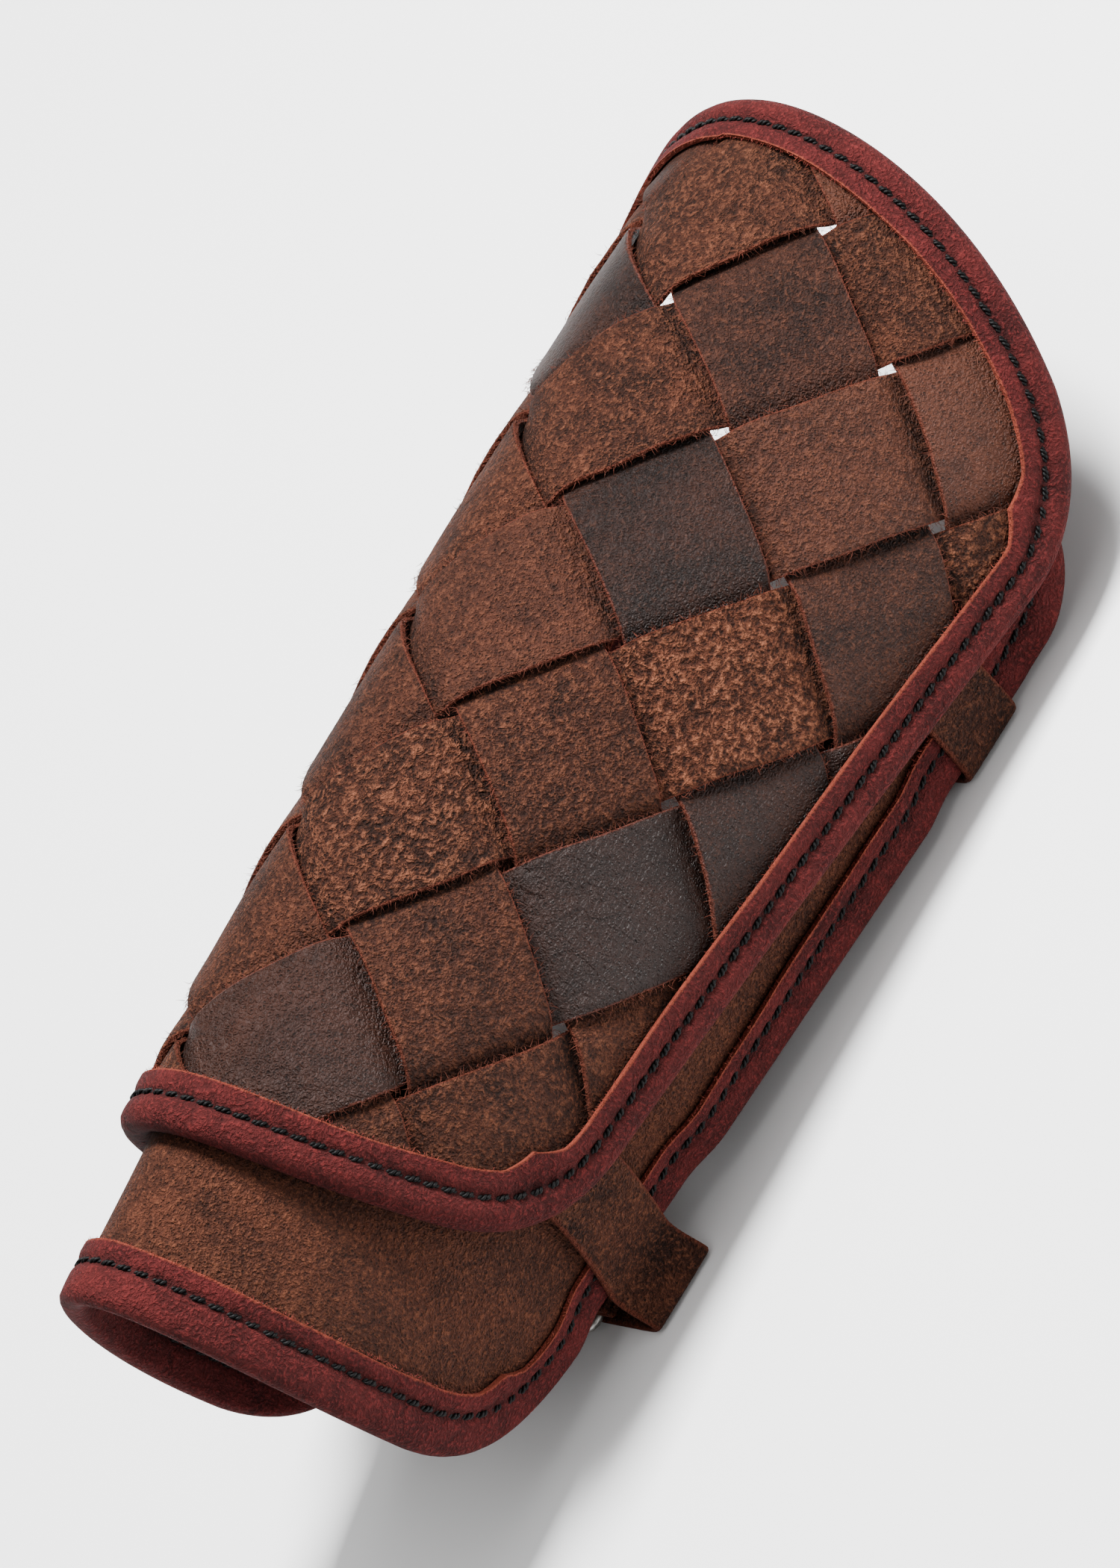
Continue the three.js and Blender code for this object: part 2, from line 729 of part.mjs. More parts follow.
// Origin below the middle of the greave's box
const box = new THREE.Box3().setFromObject(greave);
for (const mesh of greave.children) mesh.geometry.translate(-(box.min.x + box.max.x) / 2, 0, 0);

export default greave;
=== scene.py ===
"""Blender scene of the leather greave: plaited panel, suede bindings, cuff, straps and buckles.

It is laid out as an add-on and run as a script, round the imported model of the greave.
"""

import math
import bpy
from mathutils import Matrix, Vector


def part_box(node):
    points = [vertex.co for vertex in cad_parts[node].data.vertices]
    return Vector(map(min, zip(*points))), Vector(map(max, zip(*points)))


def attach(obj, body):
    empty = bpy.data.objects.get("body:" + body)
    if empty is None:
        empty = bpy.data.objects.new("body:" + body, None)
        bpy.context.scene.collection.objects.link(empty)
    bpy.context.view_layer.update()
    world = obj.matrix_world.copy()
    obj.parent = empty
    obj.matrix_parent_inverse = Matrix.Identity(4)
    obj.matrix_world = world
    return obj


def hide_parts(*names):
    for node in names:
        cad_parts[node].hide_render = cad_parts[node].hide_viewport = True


bl_info = {
    "name": "Leather greave",
    "version": (1, 0, 0),
    "blender": (4, 5, 0),
    "location": "View3D > Sidebar > Greave",
    "description": "Builds the plaited leather greave round its packed model",
    "category": "Object",
}

import bpy
import numpy as np
from bpy.props import FloatProperty, FloatVectorProperty, IntProperty, PointerProperty
from mathutils import Matrix, Vector

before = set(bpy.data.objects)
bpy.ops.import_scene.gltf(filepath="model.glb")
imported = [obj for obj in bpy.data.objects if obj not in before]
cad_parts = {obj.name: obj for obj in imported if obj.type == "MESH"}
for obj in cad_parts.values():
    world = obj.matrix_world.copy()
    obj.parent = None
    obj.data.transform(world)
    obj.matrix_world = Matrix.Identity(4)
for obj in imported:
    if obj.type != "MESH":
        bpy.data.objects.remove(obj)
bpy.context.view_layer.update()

MM = 0.001

# Section of the arched shell at its ankle end and its knee end, in millimetres and degrees, as in
# the part: the surface turns by turn * tanh(s / ridge) + curl * s at s from the shin line. The pitch
# lowers the ankle end, and the middle is what centres the greave over the origin.
LENGTH = 360.0
TURN = (41.0, 22.7)
RIDGE = (21.5, 23.4)
CURL = (0.495, 0.326)
PITCH = math.radians(4.0)
MIDDLE = 179.385
SECTION_STEPS = 24

# Points of an outline along half an end, round a corner and along a side
END_POINTS = 40
BEND_POINTS = 24
SIDE_POINTS = 60

# Thicknesses and clearance of the layers, rise of a strip, and reach of each binding from the middle
# of what it folds over to its outer and its inner face. Then how far what lies in a fold stops short
# of its bottom, and how far that bottom is filled, as a share of the inner reach.
STRIP = 2.0
BASE = 2.2
STRAP = 2.0
SEAT = 0.35
STRIP_LIFT = 1.15
PANEL_OUTER = 4.4
PANEL_INNER = 3.0
BASE_OUTER = 3.25
BASE_INNER = 1.85
CHANNEL_EDGE = 0.6
FOLD_FILL = 0.4

# Plait: direction and pitch of both sets of strips, one corner of the plait, the way of one square
# along each set, squares to each side of that corner, and strips in a set
RISE_ANGLE = math.radians(39.2)
FALL_ANGLE = math.radians(47.7)
RISE_PITCH = 46.5
FALL_PITCH = 44.1
CORNER = np.array([226.6, 13.8])
RISE = RISE_PITCH * np.array([math.cos(RISE_ANGLE), math.sin(RISE_ANGLE)])
FALL = FALL_PITCH * np.array([-math.cos(FALL_ANGLE), math.sin(FALL_ANGLE)])
REACH = 6
STRIPS = 8

# Number of the strip in row 0 of each set, and what is added to its number for each seed
RISE_MIDDLE = 5
FALL_MIDDLE = 6
FALL_SEED = 20
SWELL_SEED = 50
LUMP_SEED = 90

# Strips: where their relief fades in from the binding, width and thickness of the soft rim, the worn
# rim, the share of tone left where a strip runs under, as painted shade, waves of the width, height
# and waves of the swell and of the shaggy lumps, and how a square of another finish fades out
RELIEF_FADE = (7.0, 24.0)
STRIP_RIM = 0.7
RIM_SHARE = 0.6
WORN_RIM = 1.1
UNDER_SHADE = 0.5
WIDTH_WAVES = (9.0, 2.0)
SWELL = (0.18, 6.0, 2.2)
LUMPS = (0.12, 24.0, 14.0)
SQUARE_EDGE = (0.42, 0.55)

# Frayed edges: height on the strip, first place inside the binding, where an edge is hidden, points
# that a run has to pass, the step aside that gives its direction, and the suede's shorter fray
FRAY_HEIGHT = 0.35 * STRIP
FRAY_START = 6.5
HIDDEN_BELOW = -0.4
SHORTEST_RUN = 3
ASIDE = 0.01
SUEDE_FRAY = {"down": 0.3, "length": 0.55, "scatter": 0.6}

# Steps of a binding's section across one leaf, round the fold and across an inner face
LEAF_STEPS = 12
FOLD_STEPS = 9
INNER_STEPS = 8

# Relief of a binding: widths of groove, lip, pucker, painted seam shade and cut edge, with the lip's
# place and height, height and length of the waves of the cut edge and of the lumps, and the seeds
GROOVE = 1.3
LIP_IN = 2.5
LIP_WIDTH = 1.5
LIP_SHARE = 0.25
PUCKER = 2.0
SEAM_SHADE = 1.1
CUT_RIM = 0.9
CUT_WAVE = (0.35, 9.0)
CUT_WAVE_REACH = 4.0
SUEDE_LUMPS = (0.16, 5.0, 3.0)
PANEL_SEED = 11
BASE_SEED = 12
CUT_SEED = 3
SUEDE_SEED = 7

# Gathers at a corner: count to each side, distance, and the least and the most of each range
GATHERS = 2
GATHER_GAP = 5.5
GATHER_SHIFT = 1.5
GATHER_SIZE = (0.4, 1.0)
GATHER_WIDTH = (0.9, 1.7)

# Steps along the bindings, the height of the thread in its groove, and a hair less than a pitch,
# so that the count of stitches comes out whole
RING_STEP = 1.35
STITCH_RIDE = 0.2
EXACT = 0.9995

# Cuts of the panel and of the base: half widths at ankle and knee, place and bow of each end, reach
# of the rounded corners, width of the binding, and the points of its inner corners with their run.
# Past the cuff the base is only a wing along each side.
PANEL_CUT = {
    "half": (104.6, 149.5), "ankle": (30.5, 0.0019), "knee": (360.5, -0.0033),
    "corners": (30.0, 28.0), "width": 15.0, "points": (3.5, 3.5),
}
BASE_CUT = {
    "half": (152.0, 159.0), "ankle": (-17.0, 0.00088), "knee": (297.0, 0.0),
    "corners": (42.0, 50.0), "width": 17.0, "points": (3.0, 0.0),
}
CORNER_REACH = 14.0
CUFF_END = 84.0
WING = 35.0

# Base leather: steps of its grid, swell as height and lengths of its waves, with its fade from the
# binding and its seed, the same of the changes in tone, and the finish
CUFF_STEP = 3.2
WING_STEPS = 56
MIDDLE_STEPS = 40
SIDE_STEPS = 13
BASE_SWELL = (0.25, 17.0, 15.0)
BASE_SWELL_FADE = (3.0, 14.0)
BASE_SWELL_SEED = 5
BASE_TONE = (0.12, 30.0, 24.0)
BASE_TONE_SEED = 8
BASE_FINISH = (0.72, 0.2, 0.12, 0.0)

# Straps: place along the greave, width, the two bend lengths of the turn round the free edge, how
# far the turn comes in, the place of the buckle bar and both tails. Then the slant of the straps, how
# far they start under the panel, the dent of the base under each as depth, room beside the strap and
# fade, and the finishes.
STRAPS = {
    "lower": {
        "u": 76.0, "width": 25.0, "out": 9.0, "in": 16.0, "turn": 2.0, "bar": 26.0,
        "fold": 8.0, "tip": 6.0,
    },
    "upper": {
        "u": 238.0, "width": 23.0, "out": 2.6, "in": 4.6, "turn": 5.6, "bar": 12.0,
        "fold": 22.0, "tip": 26.0,
    },
}
STRAP_SLANT = 0.1
STRAP_TUCK = 9.0
DENT = (2.4, 7.0, 15.0)
STRAP_FINISH = {"lower": (0.5, 0.15, 0.3, 0.0), "upper": (0.4, 0.3, 0.25, 0.0)}

# A strap's section: places across it, shares of half its thickness there, wear there, and cupping
STRAP_COLUMNS = (0.0, 0.02, 0.06, 0.2, 0.35, 0.5, 0.65, 0.8, 0.94, 0.98, 1.0)
STRAP_HALF = (0.45, 0.85, 1, 1, 1, 1, 1, 1, 1, 0.85, 0.45)
STRAP_RIM = (1.0, 0.8, 0.3, 0, 0, 0, 0, 0, 0.3, 0.8, 1.0)
CUP = 0.25
CUP_SHARE = 0.4

# Points of a strap along the greave, down its turn, across the back, round the bar, up through the
# frame and over the fold, and the room between its tongue and the front bar
ALONG_STEPS = 17
TURN_STEPS = 26
BACK_STEPS = 14
BAR_STEPS = 16
CLIMB_STEPS = 12
TAIL_STEPS = 8
BAR_ROOM = 1.0

# Buckles: wire, length of the frame, its rounding and the prong's bow, then the sides and steps of
# both meshes and the prong's taper
BUCKLE = {"wire": 3.0, "length": 24.0, "corner": 3.2, "rise": 2.4}
FRAME_SIDES = 16
FRAME_STEP = 1.6
ROUNDING_STEPS = 6
PRONG_SIDES = 12
PRONG_STEPS = 22
PRONG_PLACES = (0, 0.1, 0.85, 1)
PRONG_RADII = (1.3, 1.15, 0.95, 0.55)

# Finish of each strip: tone from dark to light, polish from nap to smooth grain, shag and creases
RISE_FINISH = {
    1: (0.55, 0.1, 0.5, 0.0), 2: (0.5, 0.1, 0.55, 0.0), 3: (0.5, 0.2, 0.5, 0.0),
    4: (0.52, 0.2, 0.4, 0.0), 5: (0.62, 0.45, 0.3, 0.1), 6: (0.5, 0.15, 0.75, 0.0),
    7: (0.3, 0.95, 0.0, 0.7), 8: (0.5, 0.2, 0.45, 0.0),
}
FALL_FINISH = {
    1: (0.5, 0.1, 0.5, 0.0), 2: (0.52, 0.2, 0.5, 0.0), 3: (0.5, 0.3, 0.35, 0.0),
    4: (0.46, 0.35, 0.4, 0.0), 5: (0.52, 0.25, 0.45, 0.0), 6: (0.12, 0.8, 0.0, 0.1),
    7: (0.3, 0.55, 0.2, 0.1), 8: (0.95, 0.7, 0.1, 0.0),
}

# Squares that differ from the rest of their strip: cell along and across, and their finish
SHAGGY_SQUARE = (0, 1, (0.95, 0.0, 1.0, 0.0))
CREASED_SQUARE = (-1, 2, (0.12, 1.0, 0.0, 1.0))
WORN_SQUARE = (1, 0, (0.75, 0.55, 0.35, 0.0))

# How strongly each effect shows in the leather and in the suede, and the height of their relief
LEATHER = {
    "cloud": 0.55, "tufts": 0.4, "long_tufts": 0.9, "pits": 0.5, "long_pits": 0.65, "pores": 0.6,
    "oil": 0.38, "worn": 0.65, "rough": (0.92, 0.46), "specular": 0.1, "wax": 0.13,
    "wax_rough": 0.4, "folds": 0.32, "long_relief": 3.0, "grain_relief": 0.3, "relief": 0.0015,
}
SUEDE = {
    "tufts": 0.6, "least": 0.06, "pits": 0.5, "cloud": 0.3, "soil": 0.22, "seam": 0.6, "worn": 0.6,
    "rough": 0.95, "specular": 0.1, "sheen": 0.05, "sheen_rough": 0.45, "waves": 0.4,
    "relief": 0.0014,
}

# Painted shade in the hollows of the leather's nap, which is also the dark of its grain's pores, and the
# dark of the suede's soiled patches, which is also painted shade in its nap's hollows and along its seam
PIT_SHADE_AND_PORE_COLOUR = (0.004, 0.0025, 0.002, 1.0)
SOIL_AND_SHADE_COLOUR = (0.009, 0.003, 0.003, 1.0)

# Size of the photo in pixels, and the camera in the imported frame
PHOTO = (1500, 2100)
VIEW_AZIMUTH = math.radians(-159.45)
VIEW_ELEVATION = math.radians(38.77)
VIEW_ROLL = math.radians(-52.47)
VIEW_TARGET = Vector((0.0, -0.020, 0.075))
VIEW_DISTANCE = 1.873
VIEW_SCALE = 5130.0
VIEW_PIXEL = (807.0, 1043.4)
SENSOR = 36.0


def lerp(a, b, t):
    """Value between a and b."""
    return a + (b - a) * t


def smoothstep(x, low, high):
    """Smooth ramp from 0 at low to 1 at high."""
    t = np.clip((x - low) / (high - low), 0.0, 1.0)
    return t * t * (3.0 - 2.0 * t)


def ripple(x, y, seed):
    """Smooth, repeatable unevenness between about -1 and 1, from a few crossed waves."""
    rng = np.random.default_rng(seed)
    total = 0.0
    for _ in range(5):
        angle, phase = rng.uniform(0.0, 2.0 * math.pi, 2)
        size = rng.uniform(0.6, 1.7)
        total = total + np.sin(size * (x * math.cos(angle) + y * math.sin(angle)) + phase)
    return total / 3.0


# Shell


def section_angle(u, s):
    """Turning angle of the section at u along the greave and s from the shin line."""
    t = u / LENGTH
    return np.radians(lerp(*TURN, t) * np.tanh(s / lerp(*RIDGE, t)) + lerp(*CURL, t) * s)


def section_run(u, s):
    """Sideways run and downward fall of the section from the shin line to s."""
    mids = (np.arange(SECTION_STEPS) + 0.5) / SECTION_STEPS
    angle = section_angle(u[..., None], s[..., None] * mids)
    return np.cos(angle).mean(-1) * s, np.sin(angle).mean(-1) * s


def half_width(cut, u):
    """Half width of a cut at u."""
    return lerp(*cut["half"], u / LENGTH)


def base_offset(u, s, dented=True):
    """Middle of the base below the plait, deeper at the sides and at each strap."""
    share = smoothstep(np.abs(s), 20.0, 110.0)
    close = PANEL_OUTER + SEAT + BASE / 2
    side = PANEL_OUTER + SEAT + BASE_OUTER
    depth = lerp(close, side, share)
    if dented:
        for strap in STRAPS.values():
            flat = strap["width"] / 2 + DENT[1]
            away = smoothstep(np.abs(u - strap["u"]), flat, flat + DENT[2])
            depth = depth + DENT[0] * share * (1.0 - away)
    return -depth


def shell_point(u, s, off):
    """Points of the shell in millimetres, off along the outward normal, as the greave rests."""
    u, s, off = np.broadcast_arrays(np.asarray(u, float), np.asarray(s, float), off)
    run, fall = section_run(u, s)
    angle = section_angle(u, s)
    edge = half_width(BASE_CUT, u)
    edge_fall = section_run(u, edge)[1]
    top = edge_fall - base_offset(u, edge, False) * np.cos(section_angle(u, edge))
    y = run + off * np.sin(angle)
    z = top - fall + off * np.cos(angle)
    upper = STRAPS["upper"]
    rise = (upper["u"] + upper["width"] / 2 - u) * math.sin(PITCH) + STRAP + SEAT
    x = u * math.cos(PITCH) + z * math.sin(PITCH) - MIDDLE
    return np.stack([x, -y, z * math.cos(PITCH) + rise], -1)


def shell_normal(u, s):
    """Outward normals of the shell."""
    out = shell_point(u, s, 1.0) - shell_point(u, s, 0.0)
    return out / np.linalg.norm(out, axis=-1, keepdims=True)


# Outlines


def rounded(start, tip, end, count):
    """Points of a rounded corner, without the first."""
    t = (np.arange(count) + 1.0)[:, None] / count
    return (1 - t) ** 2 * start + 2 * t * (1 - t) * tip + t * t * end


def outline(cut, step):
    """Closed outline of a cut as evenly spaced points (u, s)."""
    ankle_corner, knee_corner = cut["corners"]

    def end_point(line, s):
        return np.array([line[0] + line[1] * s * s, s])

    def side_at(line):
        s = cut["half"][1]
        for _ in range(6):
            s = half_width(cut, end_point(line, s)[0])
        return s

    def side_point(u):
        return np.array([u, half_width(cut, u)])

    ankle_side = side_at(cut["ankle"])
    knee_side = side_at(cut["knee"])
    knee_u = end_point(cut["knee"], knee_side)[0]
    ankle_u = end_point(cut["ankle"], ankle_side)[0]
    half = [end_point(cut["knee"], s) for s in np.linspace(0, knee_side - knee_corner, END_POINTS)]
    from_side = side_point(knee_u - knee_corner)
    half += list(rounded(half[-1], end_point(cut["knee"], knee_side), from_side, BEND_POINTS))
    to_side = side_point(ankle_u + ankle_corner)
    half += [lerp(from_side, to_side, t) for t in np.linspace(0, 1, SIDE_POINTS)[1:]]
    last = ankle_side - ankle_corner
    tip = end_point(cut["ankle"], ankle_side)
    half += list(rounded(half[-1], tip, end_point(cut["ankle"], last), BEND_POINTS))
    half += [end_point(cut["ankle"], s) for s in np.linspace(last, 0, END_POINTS)[1:]]
    half = np.array(half)
    mirrored = half[-2:0:-1] * np.array([1.0, -1.0])
    return resample(np.concatenate([half, mirrored]), step, True)


def resample(points, step, closed):
    """Evenly spaced points along a polyline."""
    loop = np.concatenate([points, points[:1]]) if closed else points
    gaps = np.linalg.norm(np.diff(loop, axis=0), axis=1)
    along = np.concatenate([[0.0], np.cumsum(gaps)])
    count = max(3, int(round(along[-1] / step)))
    places = np.linspace(0.0, along[-1], count, endpoint=not closed)
    return np.stack([np.interp(places, along, loop[:, k]) for k in range(loop.shape[1])], -1)


def inward_normals(ring):
    """Inward unit normals of a closed outline."""
    run = np.roll(ring, -1, 0) - np.roll(ring, 1, 0)
    run = (np.roll(run, 1, 0) + 2 * run + np.roll(run, -1, 0)) / 4
    normals = np.stack([-run[:, 1], run[:, 0]], -1)
    normals /= np.linalg.norm(normals, axis=1, keepdims=True)
    middle = ring.mean(0)
    if ((middle - ring) * normals).sum() < 0:
        normals = -normals
    return normals


def way_along(ring):
    """Way along a closed outline at each of its points, and its whole length."""
    gaps = np.linalg.norm(np.roll(ring, -1, 0) - ring, axis=1)
    return np.concatenate([[0.0], np.cumsum(gaps)[:-1]]), gaps.sum()


def way_from(along, place_at, whole):
    """Shortest way along a closed outline from a place on it."""
    return (along - place_at + whole / 2) % whole - whole / 2


def both_faces(values):
    """Values of a grid, once for its upper and once for its lower face."""
    return np.tile(values.ravel(), 2)


def grid_kept(inside):
    """Cells of a grid that have at least one corner inside."""
    return inside[:-1, :-1] | inside[1:, :-1] | inside[:-1, 1:] | inside[1:, 1:]


def inset(ring, distance):
    """Outline moved in by a distance."""
    return ring + distance * inward_normals(ring)


def depth_in(points, ring):
    """Distance of each point inside a closed outline, negative outside, and its nearest place."""
    flat = points.reshape(-1, 2)
    ends = np.roll(ring, -1, 0)
    run = ends - ring
    size = (run ** 2).sum(1)
    gap = flat[:, None, :] - ring[None]
    t = np.clip((gap * run).sum(-1) / size, 0.0, 1.0)
    feet = ring[None] + run[None] * t[..., None]
    distance = np.linalg.norm(flat[:, None, :] - feet, axis=-1)
    nearest = distance.argmin(1)
    rows = np.arange(len(flat))
    above = ring[None, :, 1] > flat[:, None, 1]
    above_end = ends[None, :, 1] > flat[:, None, 1]
    lift = np.where(np.abs(run[:, 1]) < 1e-9, 1e-9, run[:, 1])
    cross = ring[None, :, 0] + (flat[:, None, 1] - ring[None, :, 1]) / lift * run[None, :, 0]
    crossed = (above != above_end) & (flat[:, None, 0] < cross)
    inside = crossed.sum(1) % 2 == 1
    signed = np.where(inside, distance[rows, nearest], -distance[rows, nearest])
    return signed.reshape(points.shape[:-1]), feet[rows, nearest].reshape(points.shape)


# Mesh helpers


def new_piece(name, vertices, faces, attributes, material, replaced=(), sharp=40.0):
    """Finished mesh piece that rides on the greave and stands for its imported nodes."""
    mesh = bpy.data.meshes.new(name)
    mesh.from_pydata((np.asarray(vertices) * MM).tolist(), [], faces)
    for label, values in attributes.items():
        values = np.asarray(values, float)
        kind = "FLOAT_VECTOR" if values.ndim == 2 else "FLOAT"
        field = "vector" if values.ndim == 2 else "value"
        layer = mesh.attributes.new(label, kind, "POINT")
        layer.data.foreach_set(field, values.ravel())
    mesh.update()
    mesh.polygons.foreach_set("use_smooth", [True] * len(mesh.polygons))
    mesh.set_sharp_from_angle(angle=math.radians(sharp))
    piece = bpy.data.objects.new(name, mesh)
    bpy.context.scene.collection.objects.link(piece)
    mesh.materials.append(material)
    place(piece, replaced)


def place(piece, replaced=()):
    """Puts a finished piece on the greave's body, for the nodes that it replaces."""
    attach(piece, "root")
    if replaced:
        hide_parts(*replaced)


def leather_marks(count, edge, tone, polish, shag, crease):
    """What the leather finish reads at each point, from one value or from one a point."""
    values = {"edge": edge, "tone": tone, "polish": polish, "shag": shag, "crease": crease}
    return {name: np.broadcast_to(value, (count,)) for name, value in values.items()}


def sheet_faces(keep):
    """Quads of a two-sided grid whose cells are kept, with walls along its open edges."""
    rows, cols = keep.shape[0] + 1, keep.shape[1] + 1
    count = rows * cols
    faces = []
    walls = {}
    for i, j in zip(*np.nonzero(keep)):
        ring = [i * cols + j, (i + 1) * cols + j, (i + 1) * cols + j + 1, i * cols + j + 1]
        faces.append(ring)
        faces.append([count + a for a in reversed(ring)])
        for a, b in zip(ring, ring[1:] + ring[:1]):
            if (b, a) in walls:
                del walls[(b, a)]
            else:
                walls[(a, b)] = True
    for a, b in walls:
        faces.append([b, a, count + a, count + b])
    return faces


def tidy_sheet(vertices, faces, attributes):
    """Drops the points that no face uses and the faces that have no area."""
    used = sorted({a for face in faces for a in face})
    index = {old: new for new, old in enumerate(used)}
    faces = [[index[a] for a in face] for face in faces]
    return vertices[used], faces, {k: np.asarray(v)[used] for k, v in attributes.items()}


def oriented(vertices, faces):
    """Faces turned so that the closed shape has them pointing outwards."""
    volume = 0.0
    for face in faces:
        a = vertices[face[0]]
        for k in range(1, len(face) - 1):
            volume += float(np.dot(a, np.cross(vertices[face[k]], vertices[face[k + 1]])))
    return faces if volume > 0 else [face[::-1] for face in faces]


def loft_faces(rings, size, closed):
    """Quads between rings of points, with end faces when the path is open."""
    faces = []
    last = rings if closed else rings - 1
    for i in range(last):
        a = i * size
        b = ((i + 1) % rings) * size
        for k in range(size):
            n = (k + 1) % size
            faces.append([a + k, a + n, b + n, b + k])
    return faces


def cap_quads(first, size, flip):
    """End faces of a lofted strip, whose section is a long ring of pairs."""
    faces = []
    for k in range(size // 2 - 1):
        ring = [first + k, first + k + 1, first + size - 2 - k, first + size - 1 - k]
        faces.append(ring[::-1] if flip else ring)
    return faces


def tube(path, radius, sides, closed):
    """Points and faces of a round wire along a path."""
    path = np.asarray(path, float)
    ahead = np.roll(path, -1, 0) - np.roll(path, 1, 0)
    if not closed:
        ahead[0] = path[1] - path[0]
        ahead[-1] = path[-1] - path[-2]
    ahead /= np.linalg.norm(ahead, axis=1, keepdims=True)
    up = np.array([0.0, 0.0, 1.0])
    side = np.cross(ahead, up)
    side /= np.linalg.norm(side, axis=1, keepdims=True)
    top = np.cross(side, ahead)
    radius = np.broadcast_to(radius, (len(path),))
    angle = 2 * math.pi * np.arange(sides) / sides
    ring = np.cos(angle)[None, :, None] * side[:, None] + np.sin(angle)[None, :, None] * top[:, None]
    vertices = (path[:, None] + ring * radius[:, None, None]).reshape(-1, 3)
    faces = loft_faces(len(path), sides, closed)
    if not closed:
        faces.append(list(range(sides))[::-1])
        faces.append(list(range((len(path) - 1) * sides, len(path) * sides)))
    return vertices, faces


def joined(parts):
    """One set of points and faces from several."""
    vertices = []
    faces = []
    start = 0
    for points, quads in parts:
        quads = oriented(points, quads)
        vertices.append(points)
        faces += [[start + a for a in face] for face in quads]
        start += len(points)
    return np.concatenate(vertices), faces


# Shaders


def add_node(tree, kind, inputs=None, **settings):
    """Node with its settings, and its inputs linked to sockets or set to values."""
    node = tree.nodes.new(kind)
    for label, value in settings.items():
        setattr(node, label, value)
    for label, value in (inputs or {}).items():
        socket = node.inputs[label]
        if isinstance(value, bpy.types.NodeSocket):
            tree.links.new(value, socket)
        else:
            socket.default_value = value
    return node


def math_node(tree, operation, a, b=0.0, clamp=False):
    """Result of a Math node."""
    node = add_node(tree, "ShaderNodeMath", {0: a, 1: b}, operation=operation, use_clamp=clamp)
    return node.outputs[0]


def times(tree, a, b):
    """Product of two values."""
    return math_node(tree, "MULTIPLY", a, b)


def product(tree, a, b, c):
    """Product of three values."""
    return times(tree, a, times(tree, b, c))


def ramp(tree, value, low, high):
    """Value mapped smoothly from low to high onto 0 to 1."""
    inputs = {"Value": value, "From Min": low, "From Max": high}
    node = add_node(tree, "ShaderNodeMapRange", inputs, interpolation_type="SMOOTHSTEP")
    return node.outputs[0]


def mix_colour(tree, factor, a, b, blend="MIX"):
    """Mixed colour."""
    inputs = {0: factor, 6: a, 7: b}
    node = add_node(tree, "ShaderNodeMix", inputs, data_type="RGBA", blend_type=blend)
    return node.outputs[2]


def mix_value(tree, factor, a, b):
    """Mixed value."""
    return add_node(tree, "ShaderNodeMix", {0: factor, 2: a, 3: b}).outputs[0]


def noise(tree, vector, scale, detail=4.0, rough=0.55, twist=0.0):
    """Noise value at a number of cells per metre."""
    inputs = {"Vector": vector, "Scale": scale, "Detail": detail, "Roughness": rough}
    inputs["Distortion"] = twist
    return add_node(tree, "ShaderNodeTexNoise", inputs).outputs["Fac"]


def new_group(name, inputs, outputs):
    """Empty shader group with named sockets, its input and its output node."""
    tree = bpy.data.node_groups.new(name, "ShaderNodeTree")
    kinds = {"vector": "NodeSocketVector", "value": "NodeSocketFloat"}
    for label, kind, value in inputs:
        socket = tree.interface.new_socket(label, in_out="INPUT", socket_type=kinds[kind])
        if value is not None:
            socket.default_value = value
    for label in outputs:
        tree.interface.new_socket(label, in_out="OUTPUT", socket_type="NodeSocketFloat")
    return tree, tree.nodes.new("NodeGroupInput"), tree.nodes.new("NodeGroupOutput")


def nap_group():
    """Brushed fibres of split leather in clumps: masks of their tips and pits, and their height. The
    finishes paint the tips lighter, partly as the fibres' own colour and partly as painted highlight,
    and the pits darker as painted shade.
    """
    inputs = [("Vector", "vector", None), ("Fibres", "value", 1000.0), ("Clumps", "value", 400.0)]
    tree, source, result = new_group("leather nap", inputs, ["Tufts", "Pits", "Height"])
    warp = add_node(tree, "ShaderNodeTexNoise", {
        "Vector": source.outputs["Vector"], "Scale": 160.0, "Detail": 2.0,
    })
    bend = add_node(tree, "ShaderNodeVectorMath", {
        0: warp.outputs["Color"], 1: (0.0035, 0.0035, 0.0035),
    }, operation="MULTIPLY")
    moved = add_node(tree, "ShaderNodeVectorMath", {
        0: source.outputs["Vector"], 1: bend.outputs[0],
    }, operation="ADD")
    fine = noise(tree, moved.outputs[0], source.outputs["Fibres"], 3.0, 0.6)
    clump = noise(tree, moved.outputs[0], source.outputs["Clumps"], 2.0, 0.55, 0.2)
    wide = times(tree, clump, 1.3)
    both = math_node(tree, "ADD", wide, times(tree, fine, 0.7))
    tree.links.new(ramp(tree, both, 0.97, 1.3), result.inputs["Tufts"])
    tree.links.new(ramp(tree, both, 0.98, 0.72), result.inputs["Pits"])
    height = math_node(tree, "ADD", clump, times(tree, fine, 0.16))
    tree.links.new(height, result.inputs["Height"])
    return tree


